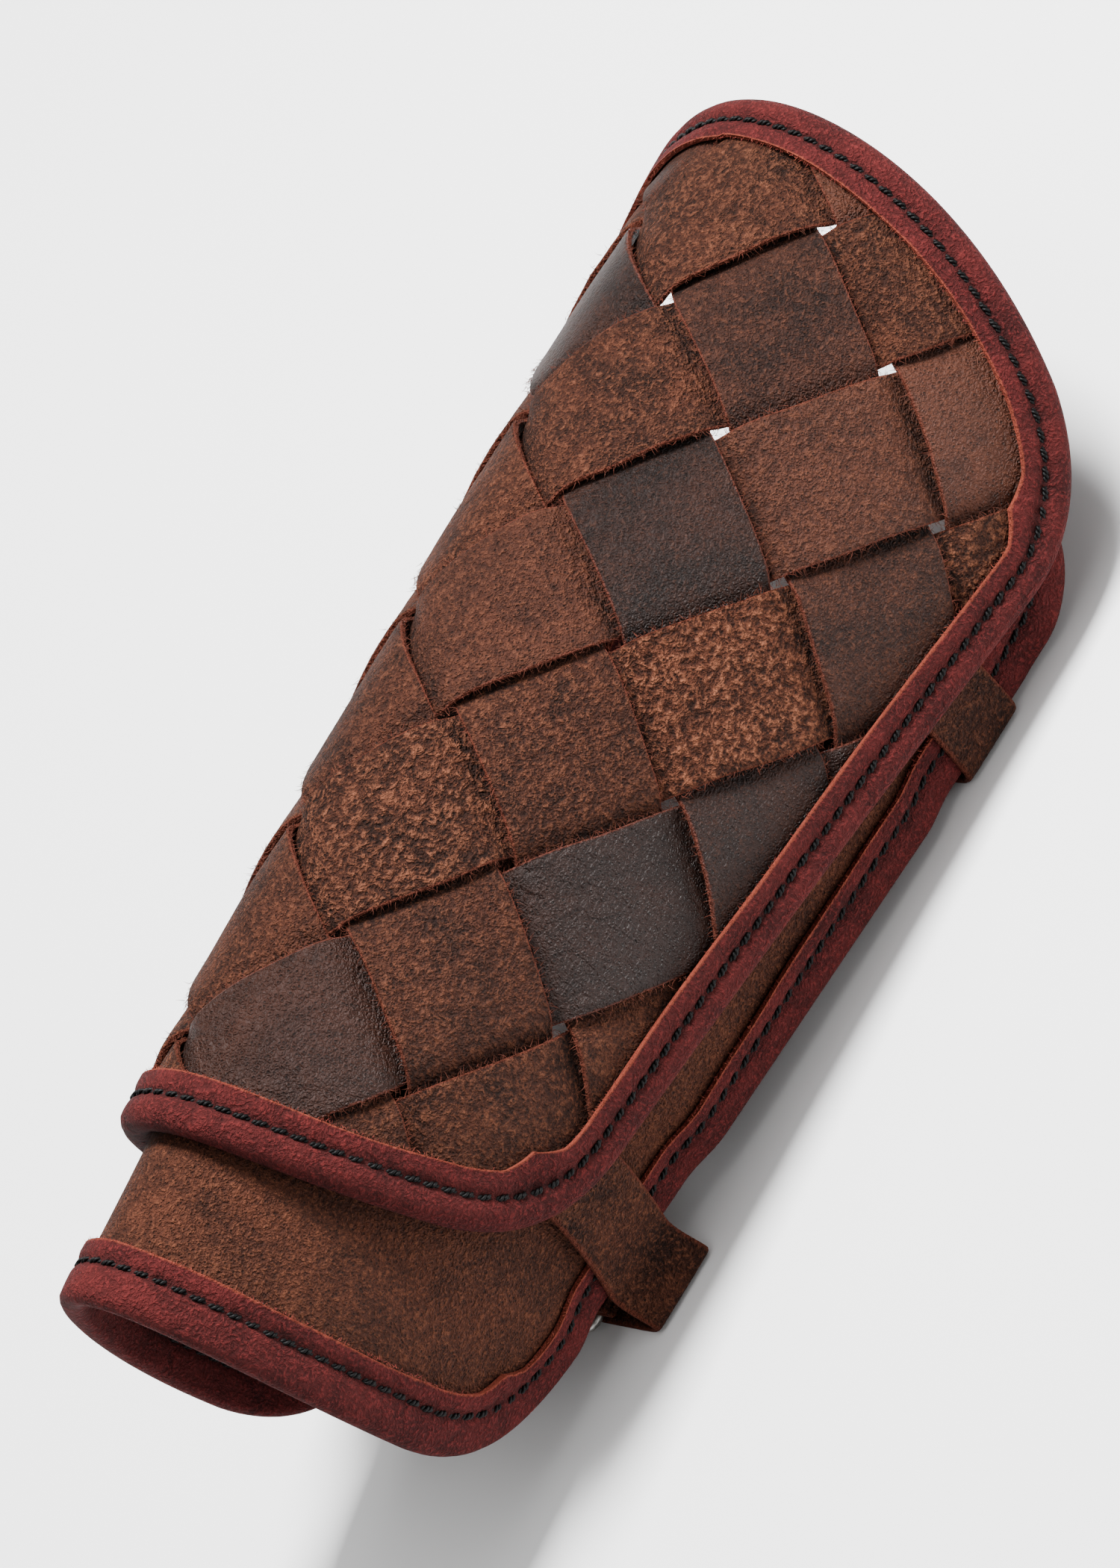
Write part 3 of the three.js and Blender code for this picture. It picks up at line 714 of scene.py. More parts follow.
def grain_group():
    """Grain of smooth leather: pores and fine wrinkles as a height, and a pore mask."""
    inputs = [("Vector", "vector", None), ("Scale", "value", 700.0)]
    tree, source, result = new_group("leather grain", inputs, ["Pores", "Height"])
    cells = add_node(tree, "ShaderNodeTexVoronoi", {
        "Vector": source.outputs["Vector"], "Scale": source.outputs["Scale"],
    }, feature="DISTANCE_TO_EDGE")
    edges = ramp(tree, cells.outputs["Distance"], 0.02, 0.25)
    spots = add_node(tree, "ShaderNodeTexVoronoi", {
        "Vector": source.outputs["Vector"], "Scale": source.outputs["Scale"],
    })
    pores = ramp(tree, spots.outputs["Distance"], 0.3, 0.12)
    fine = noise(tree, source.outputs["Vector"], 2600.0, 2.0)
    height = math_node(tree, "ADD", times(tree, edges, 0.6), fine)
    tree.links.new(math_node(tree, "SUBTRACT", height, pores), result.inputs["Height"])
    tree.links.new(pores, result.inputs["Pores"])
    return tree


def mottle_group():
    """Cloudy unevenness of oiled leather, from about 0 to 1."""
    inputs = [("Vector", "vector", None), ("Scale", "value", 60.0)]
    tree, source, result = new_group("oil mottle", inputs, ["Cloud", "Patches"])
    wide = noise(tree, source.outputs["Vector"], source.outputs["Scale"], 5.0, 0.6, 0.4)
    tree.links.new(ramp(tree, wide, 0.3, 0.7), result.inputs["Cloud"])
    near = times(tree, source.outputs["Scale"], 1.9)
    close = noise(tree, source.outputs["Vector"], near, 6.0, 0.65, 1.2)
    tree.links.new(ramp(tree, close, 0.52, 0.68), result.inputs["Patches"])
    return tree


def wear_group():
    """Rubbed edge: a mask from how near the cut edge is, broken up by noise."""
    inputs = [("Vector", "vector", None), ("Edge", "value", 0.0), ("Scale", "value", 500.0)]
    tree, source, result = new_group("edge wear", inputs, ["Worn"])
    broken = noise(tree, source.outputs["Vector"], source.outputs["Scale"], 4.0, 0.7)
    lifted = times(tree, math_node(tree, "SUBTRACT", broken, 0.5), 1.3)
    total = math_node(tree, "ADD", source.outputs["Edge"], lifted)
    tree.links.new(ramp(tree, total, 0.35, 0.95), result.inputs["Worn"])
    return tree


def use_group(tree, name, inputs):
    """Node that places a shared group."""
    return add_node(tree, "ShaderNodeGroup", inputs, node_tree=bpy.data.node_groups[name])


def new_material(name):
    """Material with its node tree, Principled shader and object coordinates."""
    material = bpy.data.materials.new(name)
    material.use_nodes = True
    tree = material.node_tree
    shader = tree.nodes["Principled BSDF"]
    coords = tree.nodes.new("ShaderNodeTexCoord").outputs["Object"]
    return material, tree, shader, coords


def attribute(tree, name):
    """Value that the mesh carries."""
    return add_node(tree, "ShaderNodeAttribute", attribute_name=name).outputs["Fac"]


def colour(value):
    """Linear colour with alpha, from display values of 0 to 255."""
    linear = []
    for part in value:
        share = part / 255.0
        linear.append(share / 12.92 if share <= 0.04045 else ((share + 0.055) / 1.055) ** 2.4)
    return (*linear, 1.0)


def leather_material(name, dark, light, edge_colour, tuft_and_highlight_colour):
    """Oiled leather that goes from brushed nap to smooth grain as the mesh says."""
    material, tree, shader, coords = new_material(name)
    tone = attribute(tree, "tone")
    polish = attribute(tree, "polish")
    shag = attribute(tree, "shag")
    crease = attribute(tree, "crease")
    edge = attribute(tree, "edge")
    nap = use_group(tree, "leather nap", {"Vector": coords, "Fibres": 1600.0, "Clumps": 950.0})
    coarse = use_group(tree, "leather nap", {"Vector": coords, "Fibres": 1100.0, "Clumps": 450.0})
    grain = use_group(tree, "leather grain", {"Vector": coords, "Scale": 700.0})
    mottle = use_group(tree, "oil mottle", {"Vector": coords, "Scale": 55.0})
    rough_share = math_node(tree, "SUBTRACT", 1.0, polish, True)
    cloud = math_node(tree, "SUBTRACT", mottle.outputs["Cloud"], 0.5)
    cloud = product(tree, cloud, math_node(tree, "ADD", rough_share, 0.3), LEATHER["cloud"])
    total = math_node(tree, "ADD", tone, cloud, True)
    base = mix_colour(tree, total, dark, light)
    # Lighter nap tips, long ones too on shaggy squares: partly the fibres' own colour, partly painted
    # highlight.
    tufts = product(tree, nap.outputs["Tufts"], rough_share, LEATHER["tufts"])
    base = mix_colour(tree, tufts, base, tuft_and_highlight_colour)
    shaggy = math_node(tree, "POWER", shag, 1.6)
    long_tufts = product(tree, coarse.outputs["Tufts"], shaggy, LEATHER["long_tufts"])
    base = mix_colour(tree, long_tufts, base, tuft_and_highlight_colour)
    # Darker nap pits, long ones too on shaggy squares: painted shade in the hollows between the clumps.
    pits = product(tree, nap.outputs["Pits"], rough_share, LEATHER["pits"])
    base = mix_colour(tree, pits, base, PIT_SHADE_AND_PORE_COLOUR)
    long_pits = product(tree, coarse.outputs["Pits"], shag, LEATHER["long_pits"])
    base = mix_colour(tree, long_pits, base, PIT_SHADE_AND_PORE_COLOUR)
    pores = times(tree, grain.outputs["Pores"], LEATHER["pores"])
    base = mix_colour(tree, pores, base, PIT_SHADE_AND_PORE_COLOUR)
    oil = times(tree, mottle.outputs["Patches"], LEATHER["oil"])
    base = mix_colour(tree, oil, base, dark)
    worn = use_group(tree, "edge wear", {"Vector": coords, "Edge": edge, "Scale": 700.0})
    base = mix_colour(tree, times(tree, worn.outputs["Worn"], LEATHER["worn"]), base, edge_colour)
    tree.links.new(base, shader.inputs["Base Color"])
    gloss = mix_value(tree, polish, *LEATHER["rough"])
    gloss = math_node(tree, "ADD", gloss, times(tree, nap.outputs["Tufts"], 0.12), True)
    tree.links.new(gloss, shader.inputs["Roughness"])
    shader.inputs["Specular IOR Level"].default_value = LEATHER["specular"]
    waxed = times(tree, ramp(tree, polish, 0.3, 1.0), LEATHER["wax"])
    tree.links.new(waxed, shader.inputs["Coat Weight"])
    shader.inputs["Coat Roughness"].default_value = LEATHER["wax_rough"]
    folds = noise(tree, coords, 120.0, 3.0, 0.5, 0.5)
    folds = math_node(tree, "ABSOLUTE", math_node(tree, "SUBTRACT", folds, 0.5))
    folds = product(tree, ramp(tree, folds, 0.0, 0.12), crease, LEATHER["folds"])
    brushed = math_node(tree, "ADD", times(tree, rough_share, 0.9), 0.35)
    height = times(tree, nap.outputs["Height"], brushed)
    long_height = product(tree, coarse.outputs["Height"], shag, LEATHER["long_relief"])
    height = math_node(tree, "ADD", height, long_height)
    grain_height = times(tree, grain.outputs["Height"], LEATHER["grain_relief"])
    height = math_node(tree, "ADD", height, grain_height)
    height = math_node(tree, "ADD", height, folds)
    bump = add_node(tree, "ShaderNodeBump", {
        "Height": height, "Strength": 1.0, "Distance": LEATHER["relief"],
    })
    tree.links.new(bump.outputs[0], shader.inputs["Normal"])
    tree.links.new(bump.outputs[0], shader.inputs["Coat Normal"])
    return material


def suede_material(name, shaded_copy, lit, raw):
    """Dyed suede: short brushed nap mixed between a shaded and a lit copy of its colour as painted light,
    with painted sheen in lighter patches, painted shade in its pits and along its seam, soiled patches
    and a raw cut edge.
    """
    material, tree, shader, coords = new_material(name)
    edge = attribute(tree, "edge")
    seam = attribute(tree, "seam")
    nap = use_group(tree, "leather nap", {"Vector": coords, "Fibres": 1900.0, "Clumps": 1050.0})
    mottle = use_group(tree, "oil mottle", {"Vector": coords, "Scale": 90.0})
    # Painted light: the nap's tips go from the shaded towards the lit copy of the colour.
    tufts = times(tree, nap.outputs["Tufts"], SUEDE["tufts"])
    lit_share = math_node(tree, "ADD", tufts, SUEDE["least"])
    base = mix_colour(tree, lit_share, shaded_copy, lit)
    # Painted shade in the pits of the nap.
    base = mix_colour(tree, times(tree, nap.outputs["Pits"], SUEDE["pits"]), base, SOIL_AND_SHADE_COLOUR)
    # Painted sheen: lighter cloudy patches towards the lit copy of the colour.
    cloud = times(tree, mottle.outputs["Cloud"], SUEDE["cloud"])
    base = mix_colour(tree, cloud, base, lit)
    soiled = times(tree, mottle.outputs["Patches"], SUEDE["soil"])
    base = mix_colour(tree, soiled, base, SOIL_AND_SHADE_COLOUR)
    # Painted shade along the seam's groove.
    base = mix_colour(tree, times(tree, seam, SUEDE["seam"]), base, SOIL_AND_SHADE_COLOUR)
    worn = use_group(tree, "edge wear", {"Vector": coords, "Edge": edge, "Scale": 900.0})
    base = mix_colour(tree, times(tree, worn.outputs["Worn"], SUEDE["worn"]), base, raw)
    tree.links.new(base, shader.inputs["Base Color"])
    shader.inputs["Roughness"].default_value = SUEDE["rough"]
    shader.inputs["Specular IOR Level"].default_value = SUEDE["specular"]
    shader.inputs["Sheen Weight"].default_value = SUEDE["sheen"]
    shader.inputs["Sheen Roughness"].default_value = SUEDE["sheen_rough"]
    shader.inputs["Sheen Tint"].default_value = lit
    waves = times(tree, mottle.outputs["Cloud"], SUEDE["waves"])
    height = math_node(tree, "ADD", nap.outputs["Height"], waves)
    bump = add_node(tree, "ShaderNodeBump", {
        "Height": height, "Strength": 1.0, "Distance": SUEDE["relief"],
    })
    tree.links.new(bump.outputs[0], shader.inputs["Normal"])
    return material


def thread_material():
    """Waxed black thread with grey glints on its plies."""
    material, tree, shader, coords = new_material("waxed thread")
    strands = noise(tree, coords, 3000.0, 3.0, 0.6)
    base = mix_colour(tree, ramp(tree, strands, 0.45, 0.75), colour((2, 2, 2)), colour((16, 15, 16)))
    tree.links.new(base, shader.inputs["Base Color"])
    shader.inputs["Roughness"].default_value = 0.5
    shader.inputs["Specular IOR Level"].default_value = 0.12
    bump = add_node(tree, "ShaderNodeBump", {"Height": strands, "Strength": 0.5, "Distance": 0.0002})
    tree.links.new(bump.outputs[0], shader.inputs["Normal"])
    return material


def fibre_material(name, dark, light):
    """Loose leather fibres, each a little different in colour."""
    material, tree, shader, coords = new_material(name)
    varied = noise(tree, coords, 420.0, 3.0, 0.6)
    base = mix_colour(tree, ramp(tree, varied, 0.3, 0.7), dark, light)
    tree.links.new(base, shader.inputs["Base Color"])
    shader.inputs["Roughness"].default_value = 0.9
    shader.inputs["Specular IOR Level"].default_value = 0.2
    return material


def metal_material():
    """Plain nickel-plated buckle, slightly scratched and dull in patches."""
    material, tree, shader, coords = new_material("buckle metal")
    scratches = noise(tree, coords, 1400.0, 4.0, 0.7, 2.0)
    dull = noise(tree, coords, 260.0, 4.0, 0.6)
    base = mix_colour(tree, ramp(tree, dull, 0.35, 0.7), colour((150, 147, 142)), colour((205, 203, 198)))
    tree.links.new(base, shader.inputs["Base Color"])
    gloss = math_node(tree, "ADD", 0.22, times(tree, scratches, 0.25))
    tree.links.new(gloss, shader.inputs["Roughness"])
    shader.inputs["Metallic"].default_value = 1.0
    bump = add_node(tree, "ShaderNodeBump", {"Height": scratches, "Strength": 0.2, "Distance": 0.0001})
    tree.links.new(bump.outputs[0], shader.inputs["Normal"])
    return material


def build_materials():
    """All groups and finishes, by name."""
    nap_group()
    grain_group()
    mottle_group()
    wear_group()
    colours = bpy.context.scene.greave_colours
    dark = (*colours.leather_dark, 1.0)
    light = (*colours.leather_light, 1.0)
    edge = (*colours.leather_edge, 1.0)
    tuft_and_highlight = (*colours.leather_nap_and_highlight, 1.0)
    shaded_copy = (*colours.suede_shaded, 1.0)
    lit = (*colours.suede_lit, 1.0)
    raw = (*colours.suede_raw, 1.0)
    for name in ("plaited leather", "base leather", "strap leather"):
        leather_material(name, dark, light, edge, tuft_and_highlight)
    suede_material("wine suede", shaded_copy, lit, raw)
    fibre_material("leather fibres", light, edge)
    fibre_material("suede fibres", lit, raw)
    thread_material()
    metal_material()


# Plait


def plait_point(p, q):
    """Flat place (u, s) of a place in the plait."""
    return CORNER + p[..., None] * RISE + q[..., None] * FALL


def finish_at(finish, along, across, rising):
    """Tone, polish, shag and crease along a strip, with the squares that stand out."""
    values = np.broadcast_to(np.array(finish), along.shape + (4,)).copy()
    if rising:
        for cell, row, square in (SHAGGY_SQUARE, CREASED_SQUARE, WORN_SQUARE):
            if row == across:
                away = np.abs(along - cell - 0.5)
                share = 1.0 - smoothstep(away, *SQUARE_EDGE)
                values = lerp(values, np.array(square), share[..., None])
    return values


def strip_row(number, rising):
    """Row of a strip in its set, and its seed."""
    return (number - RISE_MIDDLE, number) if rising else (number - FALL_MIDDLE, number + FALL_SEED)


def strip_place(number, rising, along, side, plait):
    """Flat places of a strip, whose width is a little uneven."""
    across, seed = strip_row(number, rising)
    half = plait.strip_width / MM / (2 * (FALL_PITCH if rising else RISE_PITCH))
    waves = ripple(along * WIDTH_WAVES[0], np.sign(side) * WIDTH_WAVES[1], seed)
    beside = across + 0.5 + half * side * (1.0 + plait.waviness * waves)
    return plait_point(along, beside) if rising else plait_point(beside, along)


def strip_lift(along, side, across, rising, fade, plait):
    """Height of a strip's middle surface: it arches over one strip and dips under the next."""
    sign = -1.0 if rising else 1.0
    if across % 2:
        sign = -sign
    wave = sign * np.cos(math.pi * (along - 0.5))
    level = np.tanh(plait.snap * wave) / math.tanh(plait.snap)
    over = np.clip(level, 0.0, 1.0)
    arch = plait.arch / MM * over * (wave ** 2)
    raised = plait.edge_raise / MM * over * np.abs(side) ** 3 * (1.0 - 0.5 * wave ** 2)
    full = level * plait.lift / MM + arch + raised
    return lerp(np.clip(level, -1, 1) * STRIP_LIFT, full, fade)


def build_strip(number, rising, ring, plait):
    """One plaited strip, cut to the binding's channel."""
    across, seed = strip_row(number, rising)
    half_wide = plait.strip_width / MM / 2
    along = np.linspace(-REACH, REACH, REACH * 2 * plait.steps + 1)
    inner = np.linspace(-1, 1, plait.columns + 1)
    side = np.concatenate([[-1.0], inner * (1.0 - STRIP_RIM / half_wide), [1.0]])
    a, v = np.meshgrid(along, side, indexing="ij")
    flat = strip_place(number, rising, a, v, plait)
    depth, foot = depth_in(flat, ring)
    inside = depth > 0.0
    flat = np.where(inside[..., None], flat, foot)
    fade = smoothstep(np.maximum(depth, 0.0), *RELIEF_FADE)
    swell, along_waves, across_waves = SWELL
    lift = strip_lift(a, v, across, rising, fade, plait)
    lift = lift + fade * (swell * ripple(a * along_waves, v * across_waves, seed + SWELL_SEED))
    word = "rise" if rising else "fall"
    finish = finish_at((RISE_FINISH if rising else FALL_FINISH)[number], a, across, rising)
    shaggy, along_waves, across_waves = LUMPS
    lump = ripple(a * along_waves, v * across_waves, seed + LUMP_SEED) * finish[..., 2] * shaggy
    full = np.where(np.abs(v) == 1.0, RIM_SHARE, 1.0) * STRIP / 2
    top = shell_point(flat[..., 0], flat[..., 1], lift + full + lump)
    low = shell_point(flat[..., 0], flat[..., 1], lift - full)
    vertices = np.concatenate([top.reshape(-1, 3), low.reshape(-1, 3)])
    edge = smoothstep(np.abs(v) * half_wide, half_wide - WORN_RIM, half_wide)
    # Painted shade: a strip is darker where it dips under the crossing strip.
    tone = finish[..., 0] * np.where(lift < 0, UNDER_SHADE, 1.0)
    polish, shag, crease = (both_faces(finish[..., k]) for k in (1, 2, 3))
    attributes = leather_marks(
        len(vertices), both_faces(edge), both_faces(tone), polish, shag, crease,
    )
    vertices, faces, attributes = tidy_sheet(vertices, sheet_faces(grid_kept(inside)), attributes)
    new_piece(
        f"plait_{word}_{number}", vertices, oriented(vertices, faces), attributes,
        bpy.data.materials["plaited leather"], [f"strip_{word}_{number}"],
    )


def strip_edges(number, rising, ring, plait):
    """Runs of points along the shown long edges of a strip, with their outward directions."""
    across, _ = strip_row(number, rising)
    runs = []
    for side in (-1.0, 1.0):
        along = np.linspace(-REACH, REACH, REACH * 2 * plait.steps + 1)
        edge = np.full_like(along, side)
        flat = strip_place(number, rising, along, edge, plait)
        depth, _ = depth_in(flat, ring)
        fade = smoothstep(np.maximum(depth, 0.0), *RELIEF_FADE)
        lift = strip_lift(along, edge, across, rising, fade, plait)
        shown = (depth > FRAY_START) & (lift > HIDDEN_BELOW)
        points = shell_point(flat[:, 0], flat[:, 1], lift + FRAY_HEIGHT)
        out = shell_normal(flat[:, 0], flat[:, 1])
        step = (FALL if rising else RISE) * side * ASIDE
        away = shell_point(flat[:, 0] + step[0], flat[:, 1] + step[1], lift + FRAY_HEIGHT) - points
        away /= np.linalg.norm(away, axis=1, keepdims=True)
        run = []
        for k, good in enumerate(shown):
            if good:
                run.append((points[k], out[k], away[k]))
            if (not good or k == len(shown) - 1) and run:
                if len(run) > SHORTEST_RUN:
                    runs.append(run)
                run = []
    return runs


# Base


def build_base():
    """Cuff and side wings of plain leather, with the window behind the plait left out."""
    end = BASE_INNER * FOLD_FILL
    ring = inset(outline(BASE_CUT, 3.0), BASE_OUTER - end + CHANNEL_EDGE)
    ankle, knee = BASE_CUT["ankle"][0], BASE_CUT["knee"][0]
    u_lines = np.concatenate([
        np.arange(ankle, CUFF_END, CUFF_STEP), np.linspace(CUFF_END, knee, WING_STEPS),
    ])
    wing = 1.0 - WING / BASE_CUT["half"][0]
    right = np.concatenate([
        np.linspace(0, wing, MIDDLE_STEPS), np.linspace(wing, 1.0, SIDE_STEPS)[1:],
    ])
    shares = np.concatenate([-right[:0:-1], right])
    u, share = np.meshgrid(u_lines, shares, indexing="ij")
    s = share * half_width(BASE_CUT, u)
    flat = np.stack([u, s], -1)
    depth, foot = depth_in(flat, ring)
    inside = depth > 0.0
    middle_u = (u[:-1, :-1] + u[1:, :-1]) / 2
    middle_share = np.abs(share[:-1, :-1] + share[:-1, 1:]) / 2
    keep = grid_kept(inside) & ((middle_u < CUFF_END) | (middle_share > wing))
    flat = np.where(inside[..., None], flat, foot)
    height, u_wave, s_wave = BASE_SWELL
    swell = height * ripple(u / u_wave, s / s_wave, BASE_SWELL_SEED)
    swell = swell * smoothstep(depth, *BASE_SWELL_FADE)
    offset = base_offset(flat[..., 0], flat[..., 1]) + swell
    top = shell_point(flat[..., 0], flat[..., 1], offset + BASE / 2)
    low = shell_point(flat[..., 0], flat[..., 1], offset - BASE / 2)
    vertices = np.concatenate([top.reshape(-1, 3), low.reshape(-1, 3)])
    tone, polish, shag, crease = BASE_FINISH
    change, u_wave, s_wave = BASE_TONE
    tones = both_faces(tone + change * ripple(u / u_wave, s / s_wave, BASE_TONE_SEED))
    attributes = leather_marks(len(vertices), 0.0, tones, polish, shag, crease)
    vertices, faces, attributes = tidy_sheet(vertices, sheet_faces(keep), attributes)
    new_piece(
        "cuff_and_wings", vertices, oriented(vertices, faces), attributes,
        bpy.data.materials["base leather"], ["base_shell"],
    )


# Bindings


def binding_profile(width, inner, outer, seam_in, suede):
    """Section of a folded binding, as distance from its outer edge and offset."""
    dip = suede.seam_dip / MM
    puff = suede.puff / MM

    def face_offset(inward):
        groove = dip * math.exp(-((inward - seam_in) / GROOVE) ** 2)
        swell = puff * math.sin(math.pi * min(1.0, max(0.0, inward / seam_in)))
        lift = LIP_SHARE * puff * math.exp(-((inward - width + LIP_IN) / LIP_WIDTH) ** 2)
        return outer - groove + 0.5 * swell + lift

    leaf = np.linspace(width, outer, LEAF_STEPS)
    profile = [(inward, face_offset(inward)) for inward in leaf]
    join = face_offset(outer) - outer
    for k in range(1, FOLD_STEPS):
        angle = math.pi * k / FOLD_STEPS
        off = outer * math.cos(angle) + join * math.cos(angle)
        profile.append((outer - outer * math.sin(angle), off))
    profile += [(inward, -face_offset(inward)) for inward in leaf[::-1]]
    inside = np.linspace(width, outer - FOLD_FILL * inner, INNER_STEPS)
    profile += [(inward, -inner) for inward in inside]
    profile += [(inward, inner) for inward in inside[::-1]]
    return np.array(profile)


def pleats(ring, corners, seed):
    """How strongly the binding gathers at each point of its outline, at the given corners."""
    along, whole = way_along(ring)
    rng = np.random.default_rng(seed)
    total = np.zeros(len(ring))
    for corner in corners:
        nearest = np.linalg.norm(ring - np.array(corner), axis=1).argmin()
        for k in range(-GATHERS, GATHERS + 1):
            shift = rng.uniform(-GATHER_SHIFT, GATHER_SHIFT)
            gap = way_from(along, along[nearest] + k * GATHER_GAP + shift, whole)
            size = rng.uniform(*GATHER_SIZE) * math.exp(-abs(k) / 2.0)
            total += size * np.exp(-((gap / rng.uniform(*GATHER_WIDTH)) ** 2))
    return total


def kept_order(ring, kept):
    """Points of an outline that carry its binding, in order, and whether that is all round."""
    mask = kept(ring)
    order = np.arange(len(ring))
    if mask.all():
        return order, True
    start = int(np.nonzero(mask & ~np.roll(mask, 1))[0][0])
    return np.roll(order, -start)[:int(mask.sum())], False


def seam_order(ring, kept):
    """Points along a seam: once round to the first again, or short of the two open ends."""
    order, closed = kept_order(ring, kept)
    return np.append(order, order[0]) if closed else order[1:-1]


def seam_line(cut, kept, seam_in, pitch):
    """Order of the outline's points along its seam, the way along it and its exact pitch."""
    ring = outline(cut, RING_STEP)
    flat = inset(ring, seam_in)
    order = seam_order(ring, kept)
    gaps = np.linalg.norm(np.diff(flat[order], axis=0), axis=1)
    run = np.concatenate([[0.0], np.cumsum(gaps)])
    along = np.zeros(len(ring))
    along[order[::-1]] = run[::-1]
    return order, along, run[-1] / max(1, round(run[-1] / pitch))


def build_binding(name, cut, inner, outer, offset_at, kept, node, seed):
    """Suede band folded over an outline, puckered along its seam and gathered at its corners."""
    suede = bpy.context.scene.greave_suede
    seams = bpy.context.scene.greave_seams
    width = cut["width"]
    seam_in = width * (seams.panel_place if cut is PANEL_CUT else seams.base_place)
    ring = outline(cut, RING_STEP)
    along, _ = way_along(ring)
    profile = binding_profile(width, inner, outer, seam_in, suede)
    size = len(profile)
    place_in = profile[:, 0]
    height, length = CUT_WAVE
    wave = height * ripple(along / length, np.zeros_like(along), seed + CUT_SEED)[:, None]
    near_cut = smoothstep(place_in, width - CUT_WAVE_REACH, width)
    pointed = corner_points(cut, ring)[:, None] * smoothstep(place_in, outer, width)
    inward = place_in + wave * near_cut + pointed
    flat = ring[:, None] + inward[..., None] * inward_normals(ring)[:, None]
    facing = np.zeros(size)
    facing[:LEAF_STEPS] = 1.0
    back = LEAF_STEPS + FOLD_STEPS - 1
    facing[back:back + LEAF_STEPS] = -1.0
    _, stitched, pitch = seam_line(cut, kept, seam_in, seams.pitch / MM)
    between = 0.5 * (1 - np.cos(2 * math.pi * stitched / pitch))[:, None]
    pucker = between * np.exp(-((place_in - seam_in) / PUCKER) ** 2)
    pleat = pleats(ring, cut_corners(cut), seed)[:, None] * smoothstep(place_in, 2.0, width)
    height, along_wave, across_wave = SUEDE_LUMPS
    lumps = height * ripple(along[:, None] / along_wave, place_in / across_wave, seed + SUEDE_SEED)
    relief = pleat * suede.pleat / MM - suede.pucker / MM * pucker + lumps
    offset = profile[None, :, 1] + relief * facing
    offset = offset + offset_at(flat[..., 0], flat[..., 1])
    points = shell_point(flat[..., 0], flat[..., 1], offset)
    order, closed = kept_order(ring, kept)
    vertices = points[order].reshape(-1, 3)
    faces = loft_faces(len(order), size, closed)
    if not closed:
        faces += binding_caps(0, size, True)
        faces += binding_caps((len(order) - 1) * size, size, False)
    cut_edge = smoothstep(place_in, width - CUT_RIM, width)
    # Painted shade along the seam's groove, on both leaves.
    seam = np.exp(-((place_in - seam_in) / SEAM_SHADE) ** 2) * np.abs(facing)
    attributes = {
        "edge": np.tile(cut_edge, len(order)),
        "seam": np.tile(seam, len(order)),
    }
    new_piece(
        name, vertices, oriented(vertices, faces), attributes,
        bpy.data.materials["wine suede"], [node], 60.0,
    )


def binding_caps(first, size, flip):
    """End faces of an open binding: front leaf, fold and back leaf between outer and inner face."""
    outer = list(range(2 * LEAF_STEPS + FOLD_STEPS - 1))
    inner = list(range(len(outer), size))[::-1]
    faces = []
    steps = len(outer) - 1
    for k in range(steps):
        a = inner[round(k * (len(inner) - 1) / steps)]
        b = inner[round((k + 1) * (len(inner) - 1) / steps)]
        face = [first + outer[k], first + outer[k + 1], first + b]
        if a != b:
            face.append(first + a)
        faces.append(face[::-1] if flip else face)
    return faces


def cut_corners(cut):
    """Corner places of a cut."""
    corners = []
    for line, sign in ((cut["ankle"], 1), (cut["ankle"], -1), (cut["knee"], 1), (cut["knee"], -1)):
        s = half_width(cut, line[0] + line[1] * cut["half"][0] ** 2)
        corners.append((line[0] + line[1] * s * s, sign * s))
    return corners


def corner_points(cut, ring):
    """How far the inner edge of a binding runs into its corners, beyond its even width."""
    along, whole = way_along(ring)
    extra = np.zeros(len(ring))
    sizes = [cut["points"][0]] * 2 + [cut["points"][1]] * 2
    for corner, size in zip(cut_corners(cut), sizes):
        nearest = np.linalg.norm(ring - np.array(corner), axis=1).argmin()
        gap = np.abs(way_from(along, along[nearest], whole))
        extra += size * np.clip(1.0 - gap / CORNER_REACH, 0.0, 1.0)
    return extra


def plait_level(u, s):
    """Offset of the panel's middle surface, which is the plait's."""
    return np.zeros_like(u)


def whole_ring(ring):
    """Every point of an outline that is bound all round."""
    return np.ones(len(ring), bool)


def base_kept(ring):
    """Points of the base's outline that carry its binding, all but the window at the knee."""
    return (ring[:, 0] < BASE_CUT["knee"][0] - 1.0) | (
        np.abs(ring[:, 1]) > half_width(BASE_CUT, ring[:, 0]) - WING
    )


def build_bindings():
    """Both suede bindings."""
    build_binding(
        "panel_suede", PANEL_CUT, PANEL_INNER, PANEL_OUTER,
        plait_level, whole_ring, "panel_binding", PANEL_SEED,
    )
    build_binding(
        "base_suede", BASE_CUT, BASE_INNER, BASE_OUTER,
        base_offset, base_kept, "base_binding", BASE_SEED,
    )


# Straps and buckles


def bezier(a, b, c, d, count):
    """Points of a cubic curve, without the first."""
    t = (np.arange(count) + 1.0)[:, None] / count
    return (1 - t) ** 3 * a + 3 * t * (1 - t) ** 2 * b + 3 * t * t * (1 - t) * c + t ** 3 * d


def strap_levels():
    """Heights of the bar's middle, of the folded end and of the tip at a buckle."""
    bar = STRAP + SEAT + BUCKLE["wire"] / 2
    fold = bar + BUCKLE["wire"] / 2 + SEAT + STRAP / 2
    return bar, fold, fold + STRAP + SEAT


